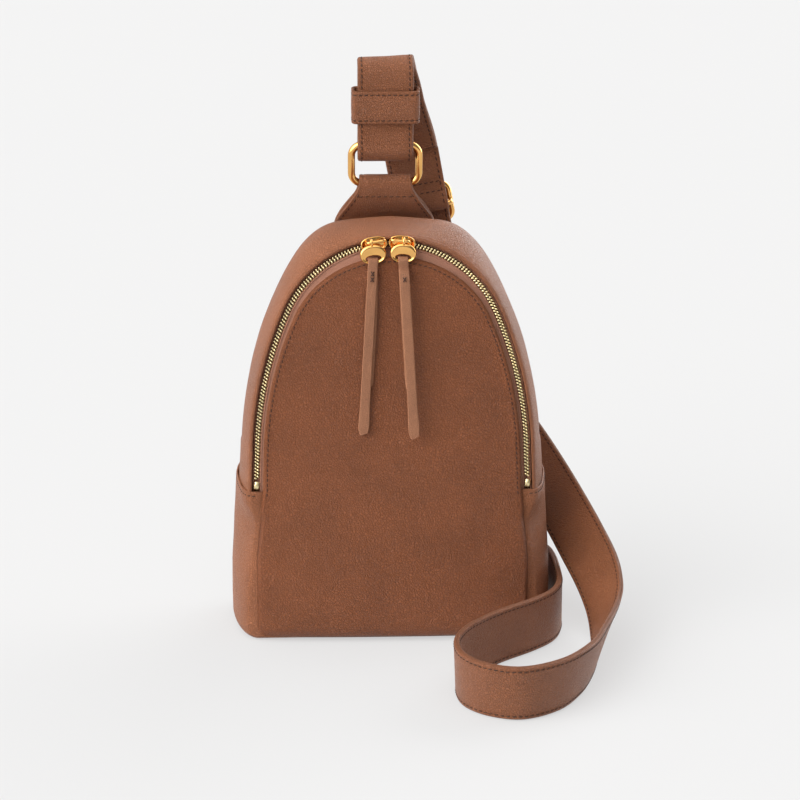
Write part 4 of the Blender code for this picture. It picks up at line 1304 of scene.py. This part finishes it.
# The rest of the strap, from the same place round its loop on the floor to the lower ring:
# x, y, z in millimetres and the direction of its width where that isn't upright
LONG_PATH = (
    (30.5, 64.5, 210.0, 1.0, 0.0, 0.28), (39.0, 68.0, 178.0, 0.97, 0.0, 0.35),
    (54.0, 71.0, 146.0, 0.9, 0.0, 0.45), (71.0, 69.0, 119.0, 0.84, 0.0, 0.55),
    (86.5, 61.0, 100.0, 0.78, -0.05, 0.62), (101.7, 42.0, 79.7, 0.73, -0.12, 0.67),
    (112.4, 20.0, 64.3, 0.72, -0.15, 0.67), (121.7, 0.0, 49.2, 0.73, -0.15, 0.66),
    (128.8, -22.0, 36.8, 0.68, -0.2, 0.7), (131.6, -42.0, 27.0, 0.57, -0.28, 0.77),
    (130.3, -60.0, 20.5, 0.46, -0.26, 0.85), (127.0, -80.0, 18.0, 0.34, -0.16, 0.93),
    (120.5, -105.0, 17.3, 0.24, -0.12, 0.96), (109.5, -136.0, 17.3, 0.2, -0.12, 0.97),
    (92.5, -161.0, 17.3, 0.1, -0.15, 0.98), (70.0, -174.0, 17.3, 0.0, -0.17, 0.985),
    (51.0, -169.0, 17.3, -0.05, -0.16, 0.985), (38.0, -154.0, 17.3, -0.07, -0.08, 0.99),
    (34.5, -133.0, 17.3, -0.04, 0.0, 1.0), (40.0, -113.0, 17.3), (51.0, -97.0, 17.3),
    (66.0, -81.0, 17.3), (84.0, -65.5, 17.3), (98.0, -49.0, 17.3), (104.6, -30.0, 17.3),
    (106.0, -8.0, 17.3), (106.0, 16.0, 17.3), (103.5, 36.0, 17.3), (95.0, 50.0, 18.3),
    (80.0, 56.3, 21.5), (65.0, 57.2, 23.7), (54.0, 57.2, 23.7), (47.3, 57.0, 23.7),
    (43.0, 55.5, 23.7), (41.4, 51.5, 23.7), (43.0, 47.4, 23.7), (47.5, 45.8, 23.7),
    (53.0, 47.8, 23.7), (59.0, 51.9, 23.7), (66.0, 52.8, 23.7), (78.0, 52.3, 22.0))
lower = Band([station(*place[:3], *(place[3:] or (0, 0, 1)), HALF) for place in LONG_PATH],
             STRAP_THICK, 5)

BEHIND_BAG = ("root", "ring", (0.0865, 0.061, 0.100), (0.0325, 0.065, 0.205))
bend(lower.body("long_strap_leather", STRAP_HIDE), BEHIND_BAG, "leather", "long_strap")
bend(stitch_mesh("long_strap_stitches", both_edges(lower), *STRAP_STITCH), BEHIND_BAG, "thread")


def keeper_band():
    """Leather loop round the front run: rounded rims and a stitch line near each."""
    origin = Vector((-2.0, 23.3, 324.2)) * MM
    lean = math.radians(9.8)
    deep = Vector((0, math.cos(lean), math.sin(lean)))
    up = Vector((0, -math.sin(lean), math.cos(lean)))
    right = Vector((1, 0, 0))
    sections, edge, rows = [], [], {-1: [], 1: []}
    tall, wall = 10.5, 2.2
    rim = [(wall * level, tall * height, dark) for height, level, dark in (
        (0.955, 0.10, 0.6), (0.99, 0.35, 1.0), (1.0, 0.55, 1.0), (0.985, 0.8, 0.7),
        (0.95, 1.0, 0.1), (0.83, 0.97, 0.0), (0.77, 0.89, 0.0), (0.71, 0.97, 0.0),
        (0.5, 1.04, 0.0), (0.2, 1.07, 0.0))]
    outer = rim + [(out, -height, dark) for out, height, dark in rim[::-1]]
    for a, b, na, nb in box_outline(37.5 * MM, 8.7 * MM, 1.4 * MM, 8):
        base = origin + right * a + deep * b
        normal = right * na + deep * nb
        soft = 0.18 * MM * wave(a, b, 0, 14, 6.1)
        sections.append([base + normal * (out * MM + soft) + up * (height * MM)
                         for out, height, _ in outer])
        edge += [dark for *_, dark in outer]
        for sign in rows:
            rows[sign].append((base + normal * (2.0 * MM + soft) + up * (sign * 8.1 * MM), normal))
    body = tidy(lofted("keeper_leather", sections, STRAP_HIDE, cyclic=True, edge=edge), 80)
    ride(body, "keeper", "leather", "keeper")
    ride(stitch_mesh("keeper_stitches", [row + row[:1] for row in rows.values()], *STRAP_STITCH),
         "keeper", "thread")


keeper_band()

# Adjuster: its frame lies behind the strap, its bar in front holds the sewn end

TILT = math.radians(-10.4)
RUN_AT = Vector((21.9, 63.0, 254.5)) * MM
RUN_RIGHT = Vector((math.cos(TILT), 0, -math.sin(TILT)))
RUN_UP = Vector((math.sin(TILT), 0, math.cos(TILT)))
RUN_BACK = Vector((0, 1, 0))


def run_point(a, b, c):
    """World point of the adjuster's own frame, in millimetres."""
    return RUN_AT + (RUN_RIGHT * a + RUN_BACK * b + RUN_UP * c) * MM


bar = [run_point(a, b, 0) for a, b in curved(
    [(-18.9, 4.2), (-18.9, -2.0), (-18.8, -4.6), (-17.9, -6.0), (-10, -6), (0, -6), (10, -6),
     (17.9, -6.0), (18.8, -4.6), (18.9, -2.0), (18.9, 4.2)], 4)]
ring_wire("adjuster_frame", "adjuster", "adjuster", run_point(0, 4.2, 0), RUN_RIGHT, RUN_UP,
          41.8 * MM, 27 * MM, 2.0 * MM, 5 * MM, [wire("bar", bar, 1.6 * MM, GOLD)])

fold_path = [(-3.1, 18.0), (-3.1, 8.0), (-3.1, 0.5), (-3.95, -2.05), (-6.0, -2.9), (-8.05, -2.05),
             (-8.9, 0.5), (-8.2, 4.5), (-5.9, 10.0), (-5.2, 14.0), (-5.0, 18.0), (-4.9, 27.0),
             (-4.9, 36.5)]
fold = Band([station(*run_point(0, b, c) / MM, *RUN_RIGHT, HALF) for b, c in fold_path],
            1.8 * MM, 4)

ON_STRAP = ("strap", "adjuster", (0.0153, 0.057, 0.290), (0.018, 0.057, 0.275))
bend(fold.body("strap_end_fold_leather", STRAP_HIDE, seam=0.0), ON_STRAP, "leather",
     "strap_end_fold")
out_face = 1 if fold.up[-1].y < 0 else -1
last = len(fold.middle)
runs = both_edges(fold, faces=(out_face,), start=24, end=last - 1)
for level in (0.2625, 0.2690):
    row = min(range(28, last), key=lambda i: abs(fold.middle[i].z - level))
    runs.append(fold.cross_line(row, out_face))
bend(stitch_mesh("strap_end_fold_stitches", runs, *STRAP_STITCH), ON_STRAP, "thread")

# Anchor of the strap's other end, low behind the bag

LIMB = 22.1
anchor = Band([station(LIMB + a, b, 23.7, 0, 0, 1, 16.5) for a, b in (
    (-30, 44.25), (-14, 44.3), (-6, 45.2), (0, 47.0), (3.3, 48.3), (4.6, 51.5), (3.3, 54.7),
    (0, 56.1), (-6, 53.8), (-14, 47.9), (-20, 46.5), (-30, 46.5))], SKIN, 5)
ride(anchor.body("lower_chape_leather", STRAP_HIDE), "root", "leather", "lower_chape")
out_face = 1 if anchor.up[-1].y > 0 else -1
runs = both_edges(anchor, faces=(out_face,), start=34)
runs.append(anchor.cross_line(len(anchor.middle) - 3, out_face))
ride(stitch_mesh("lower_chape_stitches", runs, *STRAP_STITCH), "root", "thread")


# Leather tabs of the pulls

DISC_RIM = -11.9


def thong(side, reach, drift, fall, short):
    """Tab folded over the pull's lower rim; its front ply hangs beside the shorter one."""
    x, v = zip_point(SLIDER_ANGLES[side], PIVOT_UP)
    middle, end = fall
    loop, ply, half = 2.3, 1.4, 3.0

    def at(down, n, shift=0.0, wide=half, turn=0.0):
        p = front(x + (drift * -down + shift) * MM, v + (DISC_RIM + down) * MM,
                  PIVOT_N + n * MM) / MM
        a = math.radians(turn)
        wide_way = front(math.cos(a), math.sin(a), 0) - front(0, 0, 0)
        return station(*p, *wide_way, wide)
    aside = 1.3 if side == "left" else -0.5
    path = [at(-reach + short, end - ply, aside, half * 0.8, -16),
            at(-reach + short + 5, end - ply, aside),
            at(-reach * 0.5, (middle + end) / 2 - ply, aside), at(-30, middle - ply, aside * 0.9),
            at(-12, middle - ply, aside * 0.4), at(-5, -loop * 0.8), at(0, -loop),
            at(loop * 0.72, -loop * 0.72), at(loop, 0), at(loop * 0.72, loop * 0.72),
            at(0, loop), at(-5, loop * 0.8), at(-12, middle), at(-reach * 0.5, (middle + end) / 2),
            at(-reach + 22, end), at(-reach + 10, end, 0, half * 1.12),
            at(-reach + 4.5, end, 0, half * 1.02, -22),
            at(-reach + 2.4, end, 0.6, half * 0.8, -50)]
    tab = Band(path, 1.1 * MM, 5)
    ride(tab.body("tab_leather_" + side, TAB_HIDE, groove=0, seam=0.0, shade_and_ripple=0.05), "tab_" + side,
         "leather", "tab_" + side)
    outer_ply = tab.middle[len(tab.middle) // 2:]
    lengths = []
    for down in (-6.6, -10.0):
        for sign in (-1, 1):
            ends = []
            for s in (-1, 1):
                level = front(x, v + (DISC_RIM + down + s * 1.6) * MM, PIVOT_N + 3 * MM).z
                point = min(outer_ply, key=lambda p: abs(p.z - level)).copy()
                point += FRONT_NORMAL * 0.95 * MM
                point.x += sign * s * 1.15 * MM
                point.z = level
                ends.append((point, FRONT_NORMAL))
            lengths.append(ends)
    ride(stitch_mesh("tab_stitches_" + side, lengths, 3.4, 3.5, 0.42, 0.0), "tab_" + side,
         "thread")


thong("left", 107.5, -0.06, (2.6, 1.4), 32)
thong("right", 109.5, 0.06, (6.4, 7.4), 32)


# Studio

AMBIENT = 0.20
FLOOR_GLOW = 0.53
BACKDROP = 0.89  # what the camera sees of the world, whose lights stay out of view
# Soft boxes: direction, strength, and the cosines at which each begins and is full
SOFT_BOXES = (
    ((-0.80, -0.50, 0.36), 3.9, 0.76, 0.93), ((-0.42, -0.56, 0.71), 1.15, 0.62, 0.94),
    ((0.72, 0.66, 0.22), 3.6, 0.68, 0.93), ((-0.15, -0.1, 0.98), 1.0, 0.62, 0.95),
    ((-0.75, 0.65, 0.22), 0.7, 0.7, 0.95))
FLOOR_HALF = 14
FLOOR_Z = -0.0002
CAMERA_AT = Vector((-0.045, -1.35, 0.50))
CAMERA_AIM = Vector((0.006, 0.0, 0.0))  # the point above or below which the camera looks
CAMERA_DOWN = math.radians(14.8)


def studio():
    mesh = bpy.data.meshes.new("floor")
    mesh.from_pydata([(x * FLOOR_HALF, y * FLOOR_HALF, FLOOR_Z)
                      for x, y in ((-1, -1), (1, -1), (1, 1), (-1, 1))], [], [(0, 1, 2, 3)])
    floor = placed("studio_floor", mesh)
    made = Finish("floor_paint", 0.95)
    made.colour(made.mix(made.noise(3.0), (0.22, 0.22, 0.22), (0.222, 0.222, 0.222)))
    made.shader.inputs["Emission Color"].default_value = (1.0, 1.0, 1.0, 1.0)
    made.shader.inputs["Emission Strength"].default_value = FLOOR_GLOW
    made.shader.inputs["Specular IOR Level"].default_value = 0.0
    mesh.materials.append(made.mat)

    world = bpy.data.worlds.new("studio")
    bpy.context.scene.world = world
    world.use_nodes = True
    tree = world.node_tree
    ground = tree.nodes["Background"]
    looking = tree.nodes.new("ShaderNodeTexCoord").outputs["Generated"]
    total = None
    for direction, strength, near, far in SOFT_BOXES:
        dot = tree.nodes.new("ShaderNodeVectorMath")
        dot.operation = "DOT_PRODUCT"
        tree.links.new(looking, dot.inputs[0])
        dot.inputs[1].default_value = Vector(direction).normalized()
        soft = tree.nodes.new("ShaderNodeMapRange")
        soft.interpolation_type = "SMOOTHSTEP"
        tree.links.new(dot.outputs["Value"], soft.inputs[0])
        for socket, number in zip(soft.inputs[1:5], (near, far, 0.0, strength)):
            socket.default_value = number
        add = tree.nodes.new("ShaderNodeMath")
        add.inputs[0].default_value = AMBIENT
        if total:
            tree.links.new(total, add.inputs[0])
        tree.links.new(soft.outputs[0], add.inputs[1])
        total = add.outputs[0]
    backdrop = tree.nodes.new("ShaderNodeMix")
    tree.links.new(tree.nodes.new("ShaderNodeLightPath").outputs["Is Camera Ray"],
                   backdrop.inputs[0])
    tree.links.new(total, backdrop.inputs[2])
    backdrop.inputs[3].default_value = BACKDROP
    tree.links.new(backdrop.outputs[0], ground.inputs["Strength"])
    ground.inputs["Color"].default_value = (1.0, 0.995, 0.99, 1.0)

    camera = placed("camera", bpy.data.cameras.new("camera"))
    camera.data.lens = 100.7
    camera.data.sensor_width = 36.0
    camera.location = CAMERA_AT
    aim = CAMERA_AIM - CAMERA_AT
    aim = Vector((aim.x, aim.y, -aim.xy.length * math.tan(CAMERA_DOWN)))
    camera.rotation_euler = aim.to_track_quat("-Z", "Y").to_euler()
    bpy.context.scene.camera = camera
    bpy.context.scene.view_settings.view_transform = "Standard"


studio()
